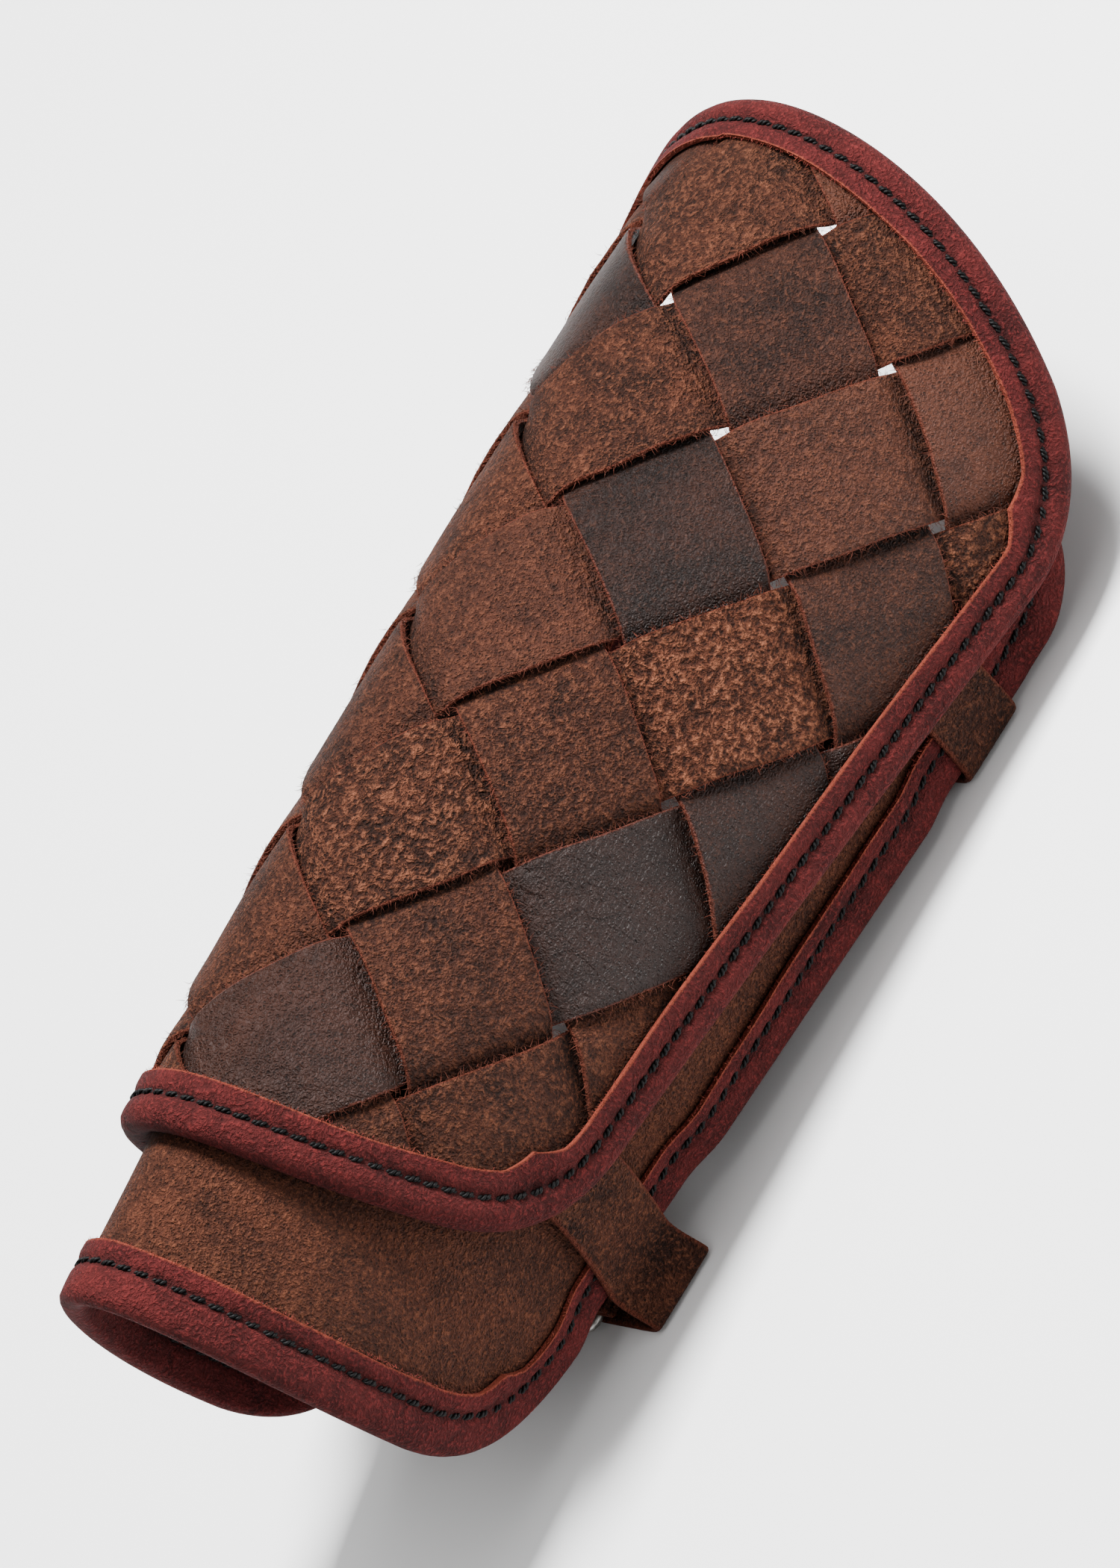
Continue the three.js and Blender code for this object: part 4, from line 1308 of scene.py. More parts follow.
def fold_path(strap):
    """Way of the buckled strap under the bar, round it and back over itself, as (y, z)."""
    _, fold, _ = strap_levels()
    radius = (fold - STRAP / 2) / 2
    middle = strap["bar"] - BUCKLE["wire"] / 2
    path = [(middle, STRAP / 2)]
    for k in range(1, BAR_STEPS + 1):
        angle = math.pi * k / BAR_STEPS
        path.append((middle - radius * math.sin(angle), STRAP / 2 + radius * (1 - math.cos(angle))))
    path.append((middle + strap["fold"] * 0.5, fold))
    path.append((middle + strap["fold"], fold))
    return path


def tip_path(strap):
    """Way of the tongue strap under the front bar, up through the frame and over the fold."""
    _, _, tip = strap_levels()
    front = strap["bar"] - BUCKLE["length"] + BUCKLE["wire"] + BAR_ROOM
    over = strap["bar"] - BUCKLE["wire"] - SEAT - STRAP * 2
    path = [(front, STRAP / 2)]
    for k in range(1, CLIMB_STEPS + 1):
        t = k / CLIMB_STEPS
        path.append((lerp(front, over, t), lerp(STRAP / 2, tip, smoothstep(t, 0.0, 1.0))))
    for t in np.linspace(0.1, 1.0, TAIL_STEPS):
        path.append((lerp(over, strap["bar"] + strap["tip"], t), tip))
    return [(-y, z) for y, z in path]


def strap_edge(strap, along, inward):
    """Middle points of one long edge of a strap, drawn on the buckled side with y positive."""
    ride = BASE_OUTER + SEAT + STRAP / 2
    start_u = strap["u"] + along * strap["width"] / 2
    first = half_width(PANEL_CUT, strap["u"]) - STRAP_TUCK
    last = half_width(BASE_CUT, start_u) - BASE_OUTER
    s = np.linspace(first, last, ALONG_STEPS)
    u = start_u - STRAP_SLANT * (s - first)
    points = shell_point(u, s, base_offset(u, s) + ride) * np.array([1.0, -1.0, 1.0])
    start = points[-1]
    heading = points[-1] - points[-2]
    heading = heading / np.linalg.norm(heading)
    end = np.array([start[0] - STRAP_SLANT * start[2], start[1] - strap["turn"], STRAP / 2])
    lead = start + heading * strap["out"]
    bend = bezier(start, lead, end + np.array([0.0, strap["in"], 0.0]), end, TURN_STEPS)
    back = np.array([(end[0], y, z) for y, z in densified(inward, end)])
    return np.concatenate([points, bend, back])


def densified(path, end):
    """Path across the back with points added on its long flat run from the turn."""
    first = path[0]
    flat = [(y, first[1]) for y in np.linspace(end[1], first[0], BACK_STEPS)[1:-1]]
    return flat + list(path)


def build_strap(name, strap, inward, side, node, finish):
    """Strap as a ribbon with eased edges, from under the panel to its end at the buckle."""
    ankle = strap_edge(strap, -1, inward)
    knee = strap_edge(strap, 1, inward)
    run = np.gradient((ankle + knee) / 2, axis=0)
    out = np.stack([np.zeros(len(run)), -run[:, 2], run[:, 1]], -1)
    out /= np.linalg.norm(out, axis=1, keepdims=True)
    cup = CUP * np.sin(np.linspace(0, math.pi, len(STRAP_COLUMNS)))
    rings = []
    for face, share in ((1, CUP_SHARE), (-1, 0.0)):
        for k in range(len(STRAP_COLUMNS))[::face]:
            middle = lerp(ankle, knee, STRAP_COLUMNS[k])
            half = STRAP / 2 * STRAP_HALF[k]
            rings.append(middle + out * (face * half - (CUP - cup[k]) * share))
    points = np.stack(rings, 1)
    points[..., 1] *= -side
    points[..., 2] = np.maximum(points[..., 2], 0.0)
    count, size = points.shape[:2]
    vertices = points.reshape(-1, 3)
    faces = loft_faces(count, size, False)
    faces += cap_quads(0, size, True) + cap_quads((count - 1) * size, size, False)
    edge = np.tile(STRAP_RIM + STRAP_RIM[::-1], count)
    new_piece(
        name, vertices, oriented(vertices, faces), leather_marks(len(vertices), edge, *finish),
        bpy.data.materials["strap leather"], [node],
    )


def build_straps():
    """Both straps, each in a buckled part on the near side and a tongue part on the far side."""
    for name, strap in STRAPS.items():
        finish = STRAP_FINISH[name]
        node = f"strap_{name}"
        build_strap(f"{node}_near", strap, fold_path(strap), 1, f"{node}_buckled", finish)
        build_strap(f"{node}_tongue", strap, tip_path(strap), -1, f"{node}_billet", finish)


def rounded_frame(x0, x1, y0, y1, z, radius):
    """Closed path of a rectangular frame with rounded corners."""
    path = []
    corners = ((x1 - radius, y1 - radius, 0), (x0 + radius, y1 - radius, 1),
               (x0 + radius, y0 + radius, 2), (x1 - radius, y0 + radius, 3))
    for cx, cy, quarter in corners:
        for k in range(ROUNDING_STEPS + 1):
            angle = math.pi / 2 * (quarter + k / ROUNDING_STEPS)
            path.append((cx + radius * math.cos(angle), cy + radius * math.sin(angle), z))
    return resample(np.array(path), FRAME_STEP, True)


def build_buckles():
    """Two plain wire buckles with a prong each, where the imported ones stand."""
    bar, _, _ = strap_levels()
    wire = BUCKLE["wire"]
    shares = np.linspace(0, 1, PRONG_STEPS)
    for name in STRAPS:
        low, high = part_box(f"buckle_{name}")
        x0, x1 = low.x / MM + wire / 2, high.x / MM - wire / 2
        y0, y1 = low.y / MM + wire / 2, high.y / MM - wire / 2
        frame_path = rounded_frame(x0, x1, y0, y1, bar, BUCKLE["corner"])
        prong = []
        for t in shares:
            bow = BUCKLE["rise"] * (0.15 + 0.75 * t) * math.sin(0.4 + 2.2 * t)
            prong.append(((x0 + x1) / 2, lerp(y0, y1, t), bar + bow))
        radii = np.interp(shares, PRONG_PLACES, PRONG_RADII)
        vertices, faces = joined([
            tube(frame_path, wire / 2, FRAME_SIDES, True), tube(prong, radii, PRONG_SIDES, False),
        ])
        new_piece(
            f"wire_buckle_{name}", vertices, faces, {}, bpy.data.materials["buckle metal"],
            [f"buckle_{name}"], 60.0,
        )


# Seams and fibres by Geometry Nodes


def new_tree(name, inputs):
    """Empty Geometry Nodes tree with named inputs, its input and its output node."""
    tree = bpy.data.node_groups.new(name, "GeometryNodeTree")
    tree.interface.new_socket("Geometry", in_out="INPUT", socket_type="NodeSocketGeometry")
    for label, kind, value in inputs:
        socket = tree.interface.new_socket(label, in_out="INPUT", socket_type=kind)
        if value is not None:
            socket.default_value = value
    tree.interface.new_socket("Geometry", in_out="OUTPUT", socket_type="NodeSocketGeometry")
    return tree, tree.nodes.new("NodeGroupInput"), tree.nodes.new("NodeGroupOutput")


def stitch_tree():
    """Two-ply stitches set along the input edges, each lying on the leather's face."""
    tree, source, result = new_tree("seam stitches", [
        ("Pitch", "NodeSocketFloat", 0.0052),
        ("Stitch length", "NodeSocketFloat", 0.0043),
        ("Thread radius", "NodeSocketFloat", 0.00045),
        ("Skew", "NodeSocketFloat", 0.22),
        ("Seed", "NodeSocketInt", 3),
        ("Material", "NodeSocketMaterial", None),
    ])
    curve = add_node(tree, "GeometryNodeMeshToCurve", {"Mesh": source.outputs["Geometry"]})
    even = add_node(tree, "GeometryNodeResampleCurve", {
        "Curve": curve.outputs[0], "Length": source.outputs["Pitch"],
    }, mode="LENGTH")
    length = source.outputs["Stitch length"]
    half = math_node(tree, "DIVIDE", length, -2.0)
    spiral = add_node(tree, "GeometryNodeCurveSpiral", {
        "Resolution": 9, "Rotations": 1.6, "Start Radius": source.outputs["Thread radius"],
        "End Radius": source.outputs["Thread radius"], "Height": length,
    })
    circle = add_node(tree, "GeometryNodeCurvePrimitiveCircle", {
        "Resolution": 6, "Radius": times(tree, source.outputs["Thread radius"], 1.05),
    })
    place_back = add_node(tree, "ShaderNodeCombineXYZ", {"Z": half})
    centred = add_node(tree, "GeometryNodeTransform", {
        "Geometry": spiral.outputs[0], "Translation": place_back.outputs[0],
    })
    turned = add_node(tree, "GeometryNodeTransform", {
        "Geometry": centred.outputs[0], "Rotation": (0.0, 0.0, math.pi),
    })
    plies = tree.nodes.new("GeometryNodeJoinGeometry")
    tree.links.new(centred.outputs[0], plies.inputs[0])
    tree.links.new(turned.outputs[0], plies.inputs[0])
    laid = add_node(tree, "GeometryNodeTransform", {
        "Geometry": plies.outputs[0], "Rotation": (0.0, math.pi / 2, 0.0),
    })
    position = tree.nodes.new("GeometryNodeInputPosition")
    split = add_node(tree, "ShaderNodeSeparateXYZ", {0: position.outputs[0]})
    share = math_node(tree, "DIVIDE", split.outputs["X"], half)
    power = math_node(tree, "POWER", math_node(tree, "ABSOLUTE", share, 0.0), 3.0)
    depth = times(tree, source.outputs["Thread radius"], -2.6)
    dive = times(tree, power, depth)
    drop = add_node(tree, "ShaderNodeCombineXYZ", {"Z": dive})
    bowed = add_node(tree, "GeometryNodeSetPosition", {
        "Geometry": laid.outputs[0], "Offset": drop.outputs[0],
    })
    thread = add_node(tree, "GeometryNodeCurveToMesh", {
        "Curve": bowed.outputs[0], "Profile Curve": circle.outputs[0], "Fill Caps": True,
    })
    tangent = tree.nodes.new("GeometryNodeInputTangent")
    outward = add_node(tree, "GeometryNodeInputNamedAttribute", {"Name": "out"}, data_type="FLOAT_VECTOR")
    along = add_node(tree, "FunctionNodeAlignRotationToVector", {"Vector": tangent.outputs[0]}, axis="X")
    upright = add_node(tree, "FunctionNodeAlignRotationToVector", {
        "Rotation": along.outputs[0], "Vector": outward.outputs[0],
    }, axis="Z", pivot_axis="X")
    skewed = add_node(tree, "FunctionNodeRandomValue", {
        2: times(tree, source.outputs["Skew"], 0.55), 3: source.outputs["Skew"],
        "Seed": source.outputs["Seed"],
    })
    yaw = add_node(tree, "FunctionNodeAxisAngleToRotation", {
        "Axis": (0.0, 0.0, 1.0), "Angle": skewed.outputs[1],
    })
    facing = add_node(tree, "FunctionNodeRotateRotation", {
        0: upright.outputs[0], 1: yaw.outputs[0],
    }, rotation_space="LOCAL")
    finish_instances(tree, source, result, even.outputs[0], thread.outputs[0], facing.outputs[0], None)
    return tree


def finish_instances(tree, source, result, points, shape, rotation, scale):
    """Instances of a shape on points, made real, smooth and given the material."""
    inputs = {"Points": points, "Instance": shape, "Rotation": rotation}
    if scale is not None:
        inputs["Scale"] = scale
    spread = add_node(tree, "GeometryNodeInstanceOnPoints", inputs)
    real = add_node(tree, "GeometryNodeRealizeInstances", {"Geometry": spread.outputs[0]})
    smooth = add_node(tree, "GeometryNodeSetShadeSmooth", {"Geometry": real.outputs[0]})
    painted = add_node(tree, "GeometryNodeSetMaterial", {
        "Geometry": smooth.outputs[0], "Material": source.outputs["Material"],
    })
    tree.links.new(painted.outputs[0], result.inputs[0])


def fibre_tree():
    """Loose tapering fibres that stand off the input edges, bent and turned at random."""
    tree, source, result = new_tree("edge fibres", [
        ("Spacing", "NodeSocketFloat", 0.00042),
        ("Length", "NodeSocketFloat", 0.0019),
        ("Thickness", "NodeSocketFloat", 0.0001),
        ("Spread", "NodeSocketFloat", 0.9),
        ("Scatter", "NodeSocketFloat", 0.0006),
        ("Seed", "NodeSocketInt", 7),
        ("Material", "NodeSocketMaterial", None),
    ])
    seed = source.outputs["Seed"]
    curve = add_node(tree, "GeometryNodeMeshToCurve", {"Mesh": source.outputs["Geometry"]})
    even = add_node(tree, "GeometryNodeResampleCurve", {
        "Curve": curve.outputs[0], "Length": source.outputs["Spacing"],
    }, mode="LENGTH")
    scatter = source.outputs["Scatter"]
    low = add_node(tree, "ShaderNodeCombineXYZ", {
        k: times(tree, scatter, -1.0) for k in ("X", "Y", "Z")
    })
    high = add_node(tree, "ShaderNodeCombineXYZ", {"X": scatter, "Y": scatter, "Z": scatter})
    jitter = add_node(tree, "FunctionNodeRandomValue", {
        0: low.outputs[0], 1: high.outputs[0], "Seed": seed,
    }, data_type="FLOAT_VECTOR")
    moved = add_node(tree, "GeometryNodeSetPosition", {
        "Geometry": even.outputs[0], "Offset": jitter.outputs[0],
    })
    length = source.outputs["Length"]
    middle = add_node(tree, "ShaderNodeCombineXYZ", {
        "X": times(tree, length, 0.55),
        "Z": times(tree, length, 0.1),
    })
    tip = add_node(tree, "ShaderNodeCombineXYZ", {
        "X": times(tree, length, 0.9),
        "Z": times(tree, length, 0.45),
    })
    bend = add_node(tree, "GeometryNodeCurveQuadraticBezier", {
        "Resolution": 3, "Start": (0.0, 0.0, 0.0), "Middle": middle.outputs[0], "End": tip.outputs[0],
    })
    factor = tree.nodes.new("GeometryNodeSplineParameter")
    taper = math_node(tree, "SUBTRACT", 1.0, times(tree, factor.outputs[0], 0.85))
    thin = add_node(tree, "GeometryNodeSetCurveRadius", {"Curve": bend.outputs[0], "Radius": taper})
    circle = add_node(tree, "GeometryNodeCurvePrimitiveCircle", {
        "Resolution": 3, "Radius": source.outputs["Thickness"],
    })
    blade = add_node(tree, "GeometryNodeCurveToMesh", {
        "Curve": thin.outputs[0], "Profile Curve": circle.outputs[0], "Fill Caps": True,
        "Scale": taper,
    })
    away = add_node(tree, "GeometryNodeInputNamedAttribute", {"Name": "away"}, data_type="FLOAT_VECTOR")
    facing = add_node(tree, "FunctionNodeAlignRotationToVector", {"Vector": away.outputs[0]}, axis="X")
    spread = source.outputs["Spread"]
    back = times(tree, spread, -1.0)
    least = add_node(tree, "ShaderNodeCombineXYZ", {"X": -3.1, "Y": back, "Z": back})
    most = add_node(tree, "ShaderNodeCombineXYZ", {"X": 3.1, "Y": spread, "Z": spread})
    turn = add_node(tree, "FunctionNodeRandomValue", {
        0: least.outputs[0], 1: most.outputs[0], "Seed": math_node(tree, "ADD", seed, 11.0),
    }, data_type="FLOAT_VECTOR")
    euler = add_node(tree, "FunctionNodeEulerToRotation", {0: turn.outputs[0]})
    final = add_node(tree, "FunctionNodeRotateRotation", {
        0: facing.outputs[0], 1: euler.outputs[0],
    }, rotation_space="LOCAL")
    size = add_node(tree, "FunctionNodeRandomValue", {
        2: 0.25, 3: 1.3, "Seed": math_node(tree, "ADD", seed, 23.0),
    })
    finish_instances(
        tree, source, result, moved.outputs[0], blade.outputs[0], final.outputs[0], size.outputs[1],
    )
    return tree


def edge_mesh(name, runs):
    """Mesh of edge runs whose points carry the leather's outward and sideways directions."""
    vertices = []
    edges = []
    outs = []
    aways = []
    for run in runs:
        start = len(vertices)
        for point, out, away in run:
            vertices.append(np.asarray(point) * MM)
            outs.append(out)
            aways.append(away)
        edges += [(start + k, start + k + 1) for k in range(len(run) - 1)]
    mesh = bpy.data.meshes.new(name)
    mesh.from_pydata([tuple(v) for v in vertices], edges, [])
    for label, values in (("out", outs), ("away", aways)):
        layer = mesh.attributes.new(label, "FLOAT_VECTOR", "POINT")
        layer.data.foreach_set("vector", np.array(values, float).ravel())
    return mesh


def grow(name, tree, runs, values, material):
    """Piece that a Geometry Nodes tree makes along runs, turned into a plain mesh."""
    mesh = edge_mesh(name, runs)
    piece = bpy.data.objects.new(name, mesh)
    bpy.context.scene.collection.objects.link(piece)
    modifier = piece.modifiers.new("along the edge", "NODES")
    modifier.node_group = tree
    keys = {item.name: item.identifier for item in tree.interface.items_tree if item.in_out == "INPUT"}
    for label, value in values.items():
        modifier[keys[label]] = value
    modifier[keys["Material"]] = material
    graph = bpy.context.evaluated_depsgraph_get()
    made = bpy.data.meshes.new_from_object(piece.evaluated_get(graph))
    piece.modifiers.remove(modifier)
    piece.data = made
    made.name = name
    if len(made.polygons) == 0:
        raise RuntimeError(f"{name} came out empty")
    if not made.materials:
        made.materials.append(material)
    place(piece)


def seam_runs(cut, outer, offset_at, kept, place_share, face):
    """Run along a binding's seam on one of its faces, and the exact pitch of its stitches."""
    suede = bpy.context.scene.greave_suede
    seams = bpy.context.scene.greave_seams
    ring = outline(cut, RING_STEP)
    seam_in = cut["width"] * place_share
    flat = inset(ring, seam_in)
    order, _, pitch = seam_line(cut, kept, seam_in, seams.pitch / MM)
    dip = outer - suede.seam_dip / MM + STITCH_RIDE
    offset = offset_at(flat[:, 0], flat[:, 1]) + face * dip
    points = shell_point(flat[:, 0], flat[:, 1], offset)
    out = face * shell_normal(flat[:, 0], flat[:, 1])
    return [[(points[k], out[k], out[k]) for k in order]], pitch


def build_seams():
    """Seams of both bindings, on their outer and their inner face."""
    seams = bpy.context.scene.greave_seams
    tree = stitch_tree()
    material = bpy.data.materials["waxed thread"]
    values = {
        "Stitch length": seams.stitch, "Thread radius": seams.thread / 2, "Skew": seams.skew,
        "Seed": seams.seed,
    }
    for face, word in ((1, "outside"), (-1, "inside")):
        runs, pitch = seam_runs(PANEL_CUT, PANEL_OUTER, plait_level, whole_ring, seams.panel_place, face)
        values["Pitch"] = pitch * MM * EXACT
        grow(f"panel_seam_{word}", tree, runs, values, material)
        runs, pitch = seam_runs(BASE_CUT, BASE_OUTER, base_offset, base_kept, seams.base_place, face)
        values["Pitch"] = pitch * MM * EXACT
        grow(f"base_seam_{word}", tree, runs, values, material)


def cut_edge_runs(cut, outer, offset_at, kept):
    """Runs along the raw inner edge of a binding's outer leaf."""
    ring = outline(cut, RING_STEP)
    flat = inset(ring, cut["width"])
    offset = offset_at(flat[:, 0], flat[:, 1]) + outer - SUEDE_FRAY["down"]
    points = shell_point(flat[:, 0], flat[:, 1], offset)
    further = inset(ring, cut["width"] + 1.0)
    away = shell_point(further[:, 0], further[:, 1], offset) - points
    away /= np.linalg.norm(away, axis=1, keepdims=True)
    out = shell_normal(flat[:, 0], flat[:, 1])
    return [[(points[k], out[k], away[k]) for k in seam_order(ring, kept)]]


def build_fibres():
    """Frayed fibres along the strips' edges and along the raw edges of the suede."""
    fibres = bpy.context.scene.greave_fibres
    plait = bpy.context.scene.greave_plait
    tree = fibre_tree()
    ring = inset(outline(PANEL_CUT, 4.0), 2.0)
    values = {
        "Spacing": fibres.spacing, "Length": fibres.length, "Thickness": fibres.thickness,
        "Spread": 0.9, "Scatter": fibres.scatter, "Seed": fibres.seed,
    }
    material = bpy.data.materials["leather fibres"]
    for rising, word in ((True, "rise"), (False, "fall")):
        runs = []
        for number in range(1, STRIPS + 1):
            runs += strip_edges(number, rising, ring, plait)
        grow(f"{word}_edge_fibres", tree, runs, values, material)
    values["Length"] = fibres.length * SUEDE_FRAY["length"]
    values["Scatter"] = fibres.scatter * SUEDE_FRAY["scatter"]
    runs = cut_edge_runs(PANEL_CUT, PANEL_OUTER, plait_level, whole_ring)
    runs += cut_edge_runs(BASE_CUT, BASE_OUTER, base_offset, base_kept)
    grow("suede_edge_fibres", tree, runs, values, bpy.data.materials["suede fibres"])


# Stage


def build_camera():
    """Camera at the photo's angle, placed so that the greave falls where the photo has it."""
    back = Vector((
        math.cos(VIEW_ELEVATION) * math.sin(VIEW_AZIMUTH),
        math.cos(VIEW_ELEVATION) * math.cos(VIEW_AZIMUTH),
        math.sin(VIEW_ELEVATION),
    ))
    level = Vector((0, 0, 1)).cross(back).normalized()
    upright = back.cross(level)
    right = math.cos(VIEW_ROLL) * level + math.sin(VIEW_ROLL) * upright
    up = -math.sin(VIEW_ROLL) * level + math.cos(VIEW_ROLL) * upright
    data = bpy.data.cameras.new("photo camera")
    camera = bpy.data.objects.new("photo_camera", data)
    bpy.context.scene.collection.objects.link(camera)
    turn = Matrix((right, up, back)).transposed()
    camera.matrix_world = Matrix.Translation(VIEW_TARGET + back * VIEW_DISTANCE) @ turn.to_4x4()
    data.sensor_fit = "AUTO"
    data.sensor_width = SENSOR
    data.lens = VIEW_SCALE * VIEW_DISTANCE / max(PHOTO) * SENSOR
    data.shift_x = (PHOTO[0] / 2 - VIEW_PIXEL[0]) / max(PHOTO)
    data.shift_y = (VIEW_PIXEL[1] - PHOTO[1] / 2) / max(PHOTO)
    data.clip_end = 30.0
    bpy.context.scene.camera = camera
    return right, up, back


def add_light(name, direction, distance, size, power):
    """Square area light that looks at the greave."""
    data = bpy.data.lights.new(name, "AREA")
    data.energy = power
    data.size = size
    lamp = bpy.data.objects.new(name, data)
    bpy.context.scene.collection.objects.link(lamp)
    place_at = VIEW_TARGET + direction.normalized() * distance
    turn = direction.to_track_quat("Z", "Y").to_matrix().to_4x4()
    lamp.matrix_world = Matrix.Translation(place_at) @ turn


def build_stage():
    """Plain pale floor, soft studio light and the camera."""
    stage = bpy.context.scene.greave_stage
    right, up, back = build_camera()
    side = stage.floor_size / 2
    mesh = bpy.data.meshes.new("floor")
    corners = [(-side, -side, 0), (side, -side, 0), (side, side, 0), (-side, side, 0)]
    mesh.from_pydata(corners, [], [(0, 1, 2, 3)])
    floor = bpy.data.objects.new("floor", mesh)
    bpy.context.scene.collection.objects.link(floor)
    material, tree, shader, coords = new_material("pale floor")
    shade = noise(tree, coords, 3.0, 2.0)
    base = mix_colour(tree, shade, (0.86, 0.86, 0.86, 1.0), (0.9, 0.9, 0.9, 1.0))
    tree.links.new(base, shader.inputs["Base Color"])
    shader.inputs["Roughness"].default_value = 0.8
    mesh.materials.append(material)
    add_light("key", up * 0.9 - right * 0.55 + back * 0.6, 1.7, 0.5, stage.key)
    add_light("fill", right * 1.0 + up * 0.45 + back * 0.5, 2.0, 0.9, stage.fill)
    add_light("top", Vector((0.0, 0.0, 1.0)), 2.2, 2.4, stage.top)
    world = bpy.context.scene.world or bpy.data.worlds.new("studio")
    bpy.context.scene.world = world
    world.use_nodes = True
    background = world.node_tree.nodes["Background"]
    background.inputs["Color"].default_value = (1.0, 1.0, 1.0, 1.0)
    background.inputs["Strength"].default_value = stage.world


# Settings, operators and panel


class GreavePlait(bpy.types.PropertyGroup):
    """Form of the plaited strips."""

    strip_width: FloatProperty(
        name="Strip width", description="Width of a strip", default=0.0415, unit="LENGTH",
    )
    lift: FloatProperty(
        name="Lift", description="Rise of a strip over the plait", default=0.0018, unit="LENGTH",
    )
    arch: FloatProperty(
        name="Arch", description="Swell in the middle of a square", default=0.0007, unit="LENGTH",
    )
    edge_raise: FloatProperty(
        name="Edge raise", description="Lift of long edges", default=0.001, unit="LENGTH",
    )
    snap: FloatProperty(name="Snap", description="How sharply a strip dips", default=3.6)
    waviness: FloatProperty(name="Waviness", description="Unevenness of the width", default=0.012)
    steps: IntProperty(name="Steps", description="Faces along one square", default=24)
    columns: IntProperty(name="Columns", description="Faces across a strip", default=18)


class GreaveSuede(bpy.types.PropertyGroup):
    """Form of the suede bindings."""

    seam_dip: FloatProperty(
        name="Seam dip", description="Groove at the seam", default=0.0009, unit="LENGTH",
    )
    puff: FloatProperty(
        name="Puff", description="Swell beside the seam", default=0.0006, unit="LENGTH",
    )
    pucker: FloatProperty(
        name="Pucker", description="Pull of a stitch", default=0.0003, unit="LENGTH",
    )
    pleat: FloatProperty(
        name="Pleat", description="Height of corner pleats", default=0.0009, unit="LENGTH",
    )


class GreaveSeams(bpy.types.PropertyGroup):
    """Stitches of the bindings."""

    pitch: FloatProperty(
        name="Pitch", description="Distance of the stitches", default=0.0052, unit="LENGTH",
    )
    stitch: FloatProperty(
        name="Stitch", description="Length of one stitch", default=0.0043, unit="LENGTH",
    )
    thread: FloatProperty(
        name="Thread", description="Width of one ply", default=0.0009, unit="LENGTH",
    )
    skew: FloatProperty(name="Skew", description="Slant of a stitch", default=0.22, unit="ROTATION")
    panel_place: FloatProperty(
        name="Panel place", description="Seam on the panel binding", default=0.58,
    )
    base_place: FloatProperty(
        name="Base place", description="Seam on the base binding", default=0.66,
    )
    seed: IntProperty(name="Seed", description="Seed of the slants", default=3)


class GreaveFibres(bpy.types.PropertyGroup):
    """Loose fibres of the cut edges."""

    spacing: FloatProperty(
        name="Spacing", description="Distance of fibres", default=0.00042, unit="LENGTH",
    )
    length: FloatProperty(
        name="Length", description="Length of a fibre", default=0.0019, unit="LENGTH",
    )
    thickness: FloatProperty(
        name="Thickness", description="Fibre radius", default=0.0001, unit="LENGTH",
    )
    scatter: FloatProperty(
        name="Scatter", description="Spread of the roots", default=0.0006, unit="LENGTH",
    )
    seed: IntProperty(name="Seed", description="Seed of the fibres", default=7)


class GreaveColours(bpy.types.PropertyGroup):
    """Colours of the leather and the suede."""

    leather_dark: FloatVectorProperty(
        name="Dark leather", description="Oiled parts", subtype="COLOR", size=3,
        default=colour((17, 8, 6))[:3],
    )
    leather_light: FloatVectorProperty(
        name="Light leather", description="Worn parts", subtype="COLOR", size=3,
        default=colour((63, 33, 22))[:3],
    )
    leather_edge: FloatVectorProperty(
        name="Leather edge", description="Cut edges", subtype="COLOR", size=3,
        default=colour((86, 40, 28))[:3],
    )
    # Lighter tips of the nap: the fibres' own colour and painted highlight.
    leather_nap_and_highlight: FloatVectorProperty(
        name="Leather nap", description="Fibres of the nap", subtype="COLOR", size=3,
        default=colour((120, 73, 52))[:3],
    )
    suede_shaded: FloatVectorProperty(
        name="Deep suede", description="Shaded nap", subtype="COLOR", size=3,
        default=colour((40, 13, 13))[:3],
    )
    # Lit copy of the suede's colour: painted light on the nap, beside the shaded copy above.
    suede_lit: FloatVectorProperty(
        name="Lit suede", description="Brushed nap", subtype="COLOR", size=3,
        default=colour((94, 34, 33))[:3],
    )
    suede_raw: FloatVectorProperty(
        name="Raw suede", description="Cut edges", subtype="COLOR", size=3,
        default=colour((122, 58, 42))[:3],
    )


class GreaveStage(bpy.types.PropertyGroup):
    """Floor and light."""

    floor_size: FloatProperty(
        name="Floor", description="Side of the floor", default=12.0, unit="LENGTH",
    )
    key: FloatProperty(
        name="Key", description="Power of the key light", default=130.0, unit="POWER",
    )
    fill: FloatProperty(
        name="Fill", description="Power of the fill light", default=35.0, unit="POWER",
    )
    top: FloatProperty(name="Top", description="Power of the top light", default=45.0, unit="POWER")
    world: FloatProperty(name="World", description="Strength of the surroundings", default=0.4)


class GREAVE_OT_materials(bpy.types.Operator):
    """Build the finishes of the greave"""

    bl_idname = "greave.materials"
    bl_label = "Finishes"

    def execute(self, context):
        build_materials()
        return {"FINISHED"}


class GREAVE_OT_plait(bpy.types.Operator):
    """Build the sixteen plaited strips"""

    bl_idname = "greave.plait"
    bl_label = "Plait"

    def execute(self, context):
        end = PANEL_OUTER - FOLD_FILL * PANEL_INNER + CHANNEL_EDGE
        ring = inset(outline(PANEL_CUT, 3.0), end)
        for number in range(1, STRIPS + 1):
            build_strip(number, True, ring, context.scene.greave_plait)
            build_strip(number, False, ring, context.scene.greave_plait)
        return {"FINISHED"}


class GREAVE_OT_base(bpy.types.Operator):
    """Build the cuff and the side wings"""

    bl_idname = "greave.base"
    bl_label = "Cuff and wings"

    def execute(self, context):
        build_base()
        return {"FINISHED"}


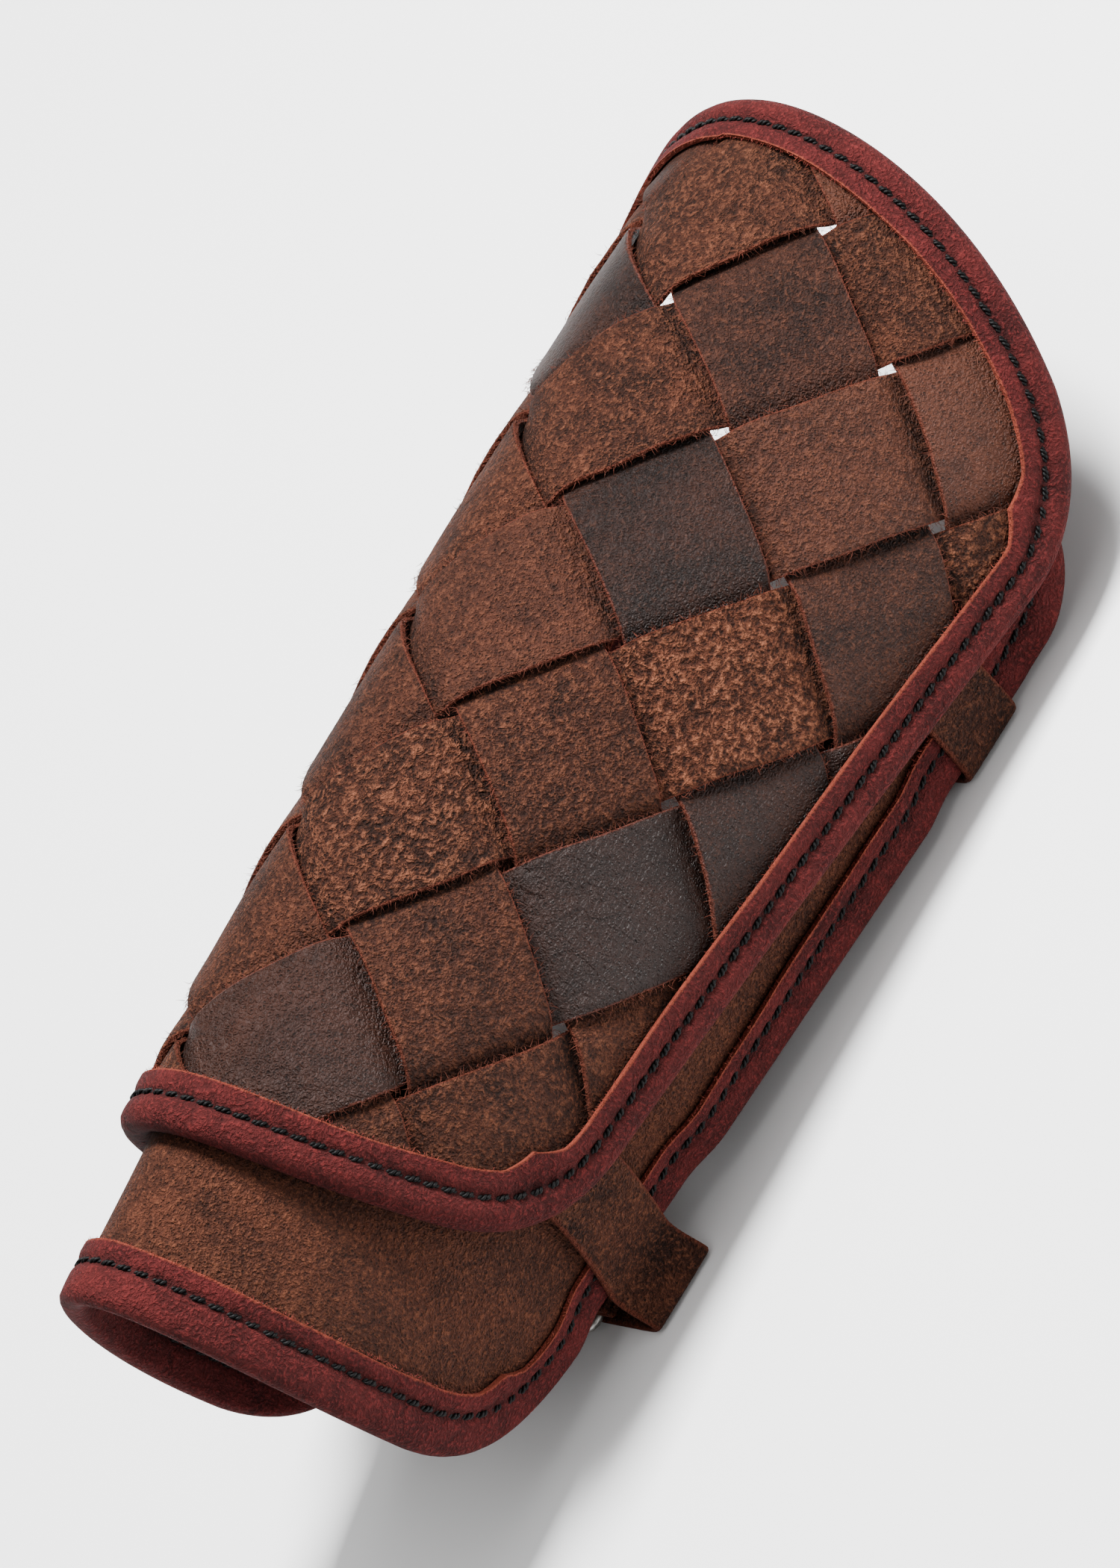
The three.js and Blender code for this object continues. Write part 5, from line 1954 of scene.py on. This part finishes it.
class GREAVE_OT_bindings(bpy.types.Operator):
    """Build the suede bindings of the panel and of the base"""

    bl_idname = "greave.bindings"
    bl_label = "Suede bindings"

    def execute(self, context):
        build_bindings()
        return {"FINISHED"}


class GREAVE_OT_straps(bpy.types.Operator):
    """Build the two straps"""

    bl_idname = "greave.straps"
    bl_label = "Straps"

    def execute(self, context):
        build_straps()
        return {"FINISHED"}


class GREAVE_OT_buckles(bpy.types.Operator):
    """Build the two wire buckles"""

    bl_idname = "greave.buckles"
    bl_label = "Buckles"

    def execute(self, context):
        build_buckles()
        return {"FINISHED"}


class GREAVE_OT_seams(bpy.types.Operator):
    """Sew the seams of both bindings"""

    bl_idname = "greave.seams"
    bl_label = "Seams"

    def execute(self, context):
        build_seams()
        return {"FINISHED"}


class GREAVE_OT_fibres(bpy.types.Operator):
    """Fray the cut edges of the leather and of the suede"""

    bl_idname = "greave.fibres"
    bl_label = "Frayed fibres"

    def execute(self, context):
        build_fibres()
        return {"FINISHED"}


class GREAVE_OT_stage(bpy.types.Operator):
    """Set the floor, the light and the camera"""

    bl_idname = "greave.stage"
    bl_label = "Stage"

    def execute(self, context):
        build_stage()
        return {"FINISHED"}


class GREAVE_PT_panel(bpy.types.Panel):
    """Panel with the operators of the greave"""

    bl_idname = "GREAVE_PT_panel"
    bl_label = "Greave"
    bl_space_type = "VIEW_3D"
    bl_region_type = "UI"
    bl_category = "Greave"

    def draw(self, context):
        for operator in OPERATORS:
            self.layout.operator(operator.bl_idname)


SETTINGS = {
    "greave_plait": GreavePlait,
    "greave_suede": GreaveSuede,
    "greave_seams": GreaveSeams,
    "greave_fibres": GreaveFibres,
    "greave_colours": GreaveColours,
    "greave_stage": GreaveStage,
}
OPERATORS = (
    GREAVE_OT_materials, GREAVE_OT_stage, GREAVE_OT_base, GREAVE_OT_plait, GREAVE_OT_bindings,
    GREAVE_OT_straps, GREAVE_OT_buckles, GREAVE_OT_seams, GREAVE_OT_fibres,
)


def register():
    """Registers the settings, the operators and the panel."""
    for name, group in SETTINGS.items():
        bpy.utils.register_class(group)
        setattr(bpy.types.Scene, name, PointerProperty(type=group))
    for operator in OPERATORS:
        bpy.utils.register_class(operator)
    bpy.utils.register_class(GREAVE_PT_panel)


def unregister():
    """Takes the settings, the operators and the panel out again."""
    bpy.utils.unregister_class(GREAVE_PT_panel)
    for operator in reversed(OPERATORS):
        bpy.utils.unregister_class(operator)
    for name, group in SETTINGS.items():
        delattr(bpy.types.Scene, name)
        bpy.utils.unregister_class(group)


def main():
    """Builds the whole greave."""
    register()
    bpy.ops.greave.materials()
    bpy.ops.greave.stage()
    bpy.ops.greave.base()
    bpy.ops.greave.plait()
    bpy.ops.greave.bindings()
    bpy.ops.greave.straps()
    bpy.ops.greave.buckles()
    bpy.ops.greave.seams()
    bpy.ops.greave.fibres()


if __name__ == "__main__":
    main()
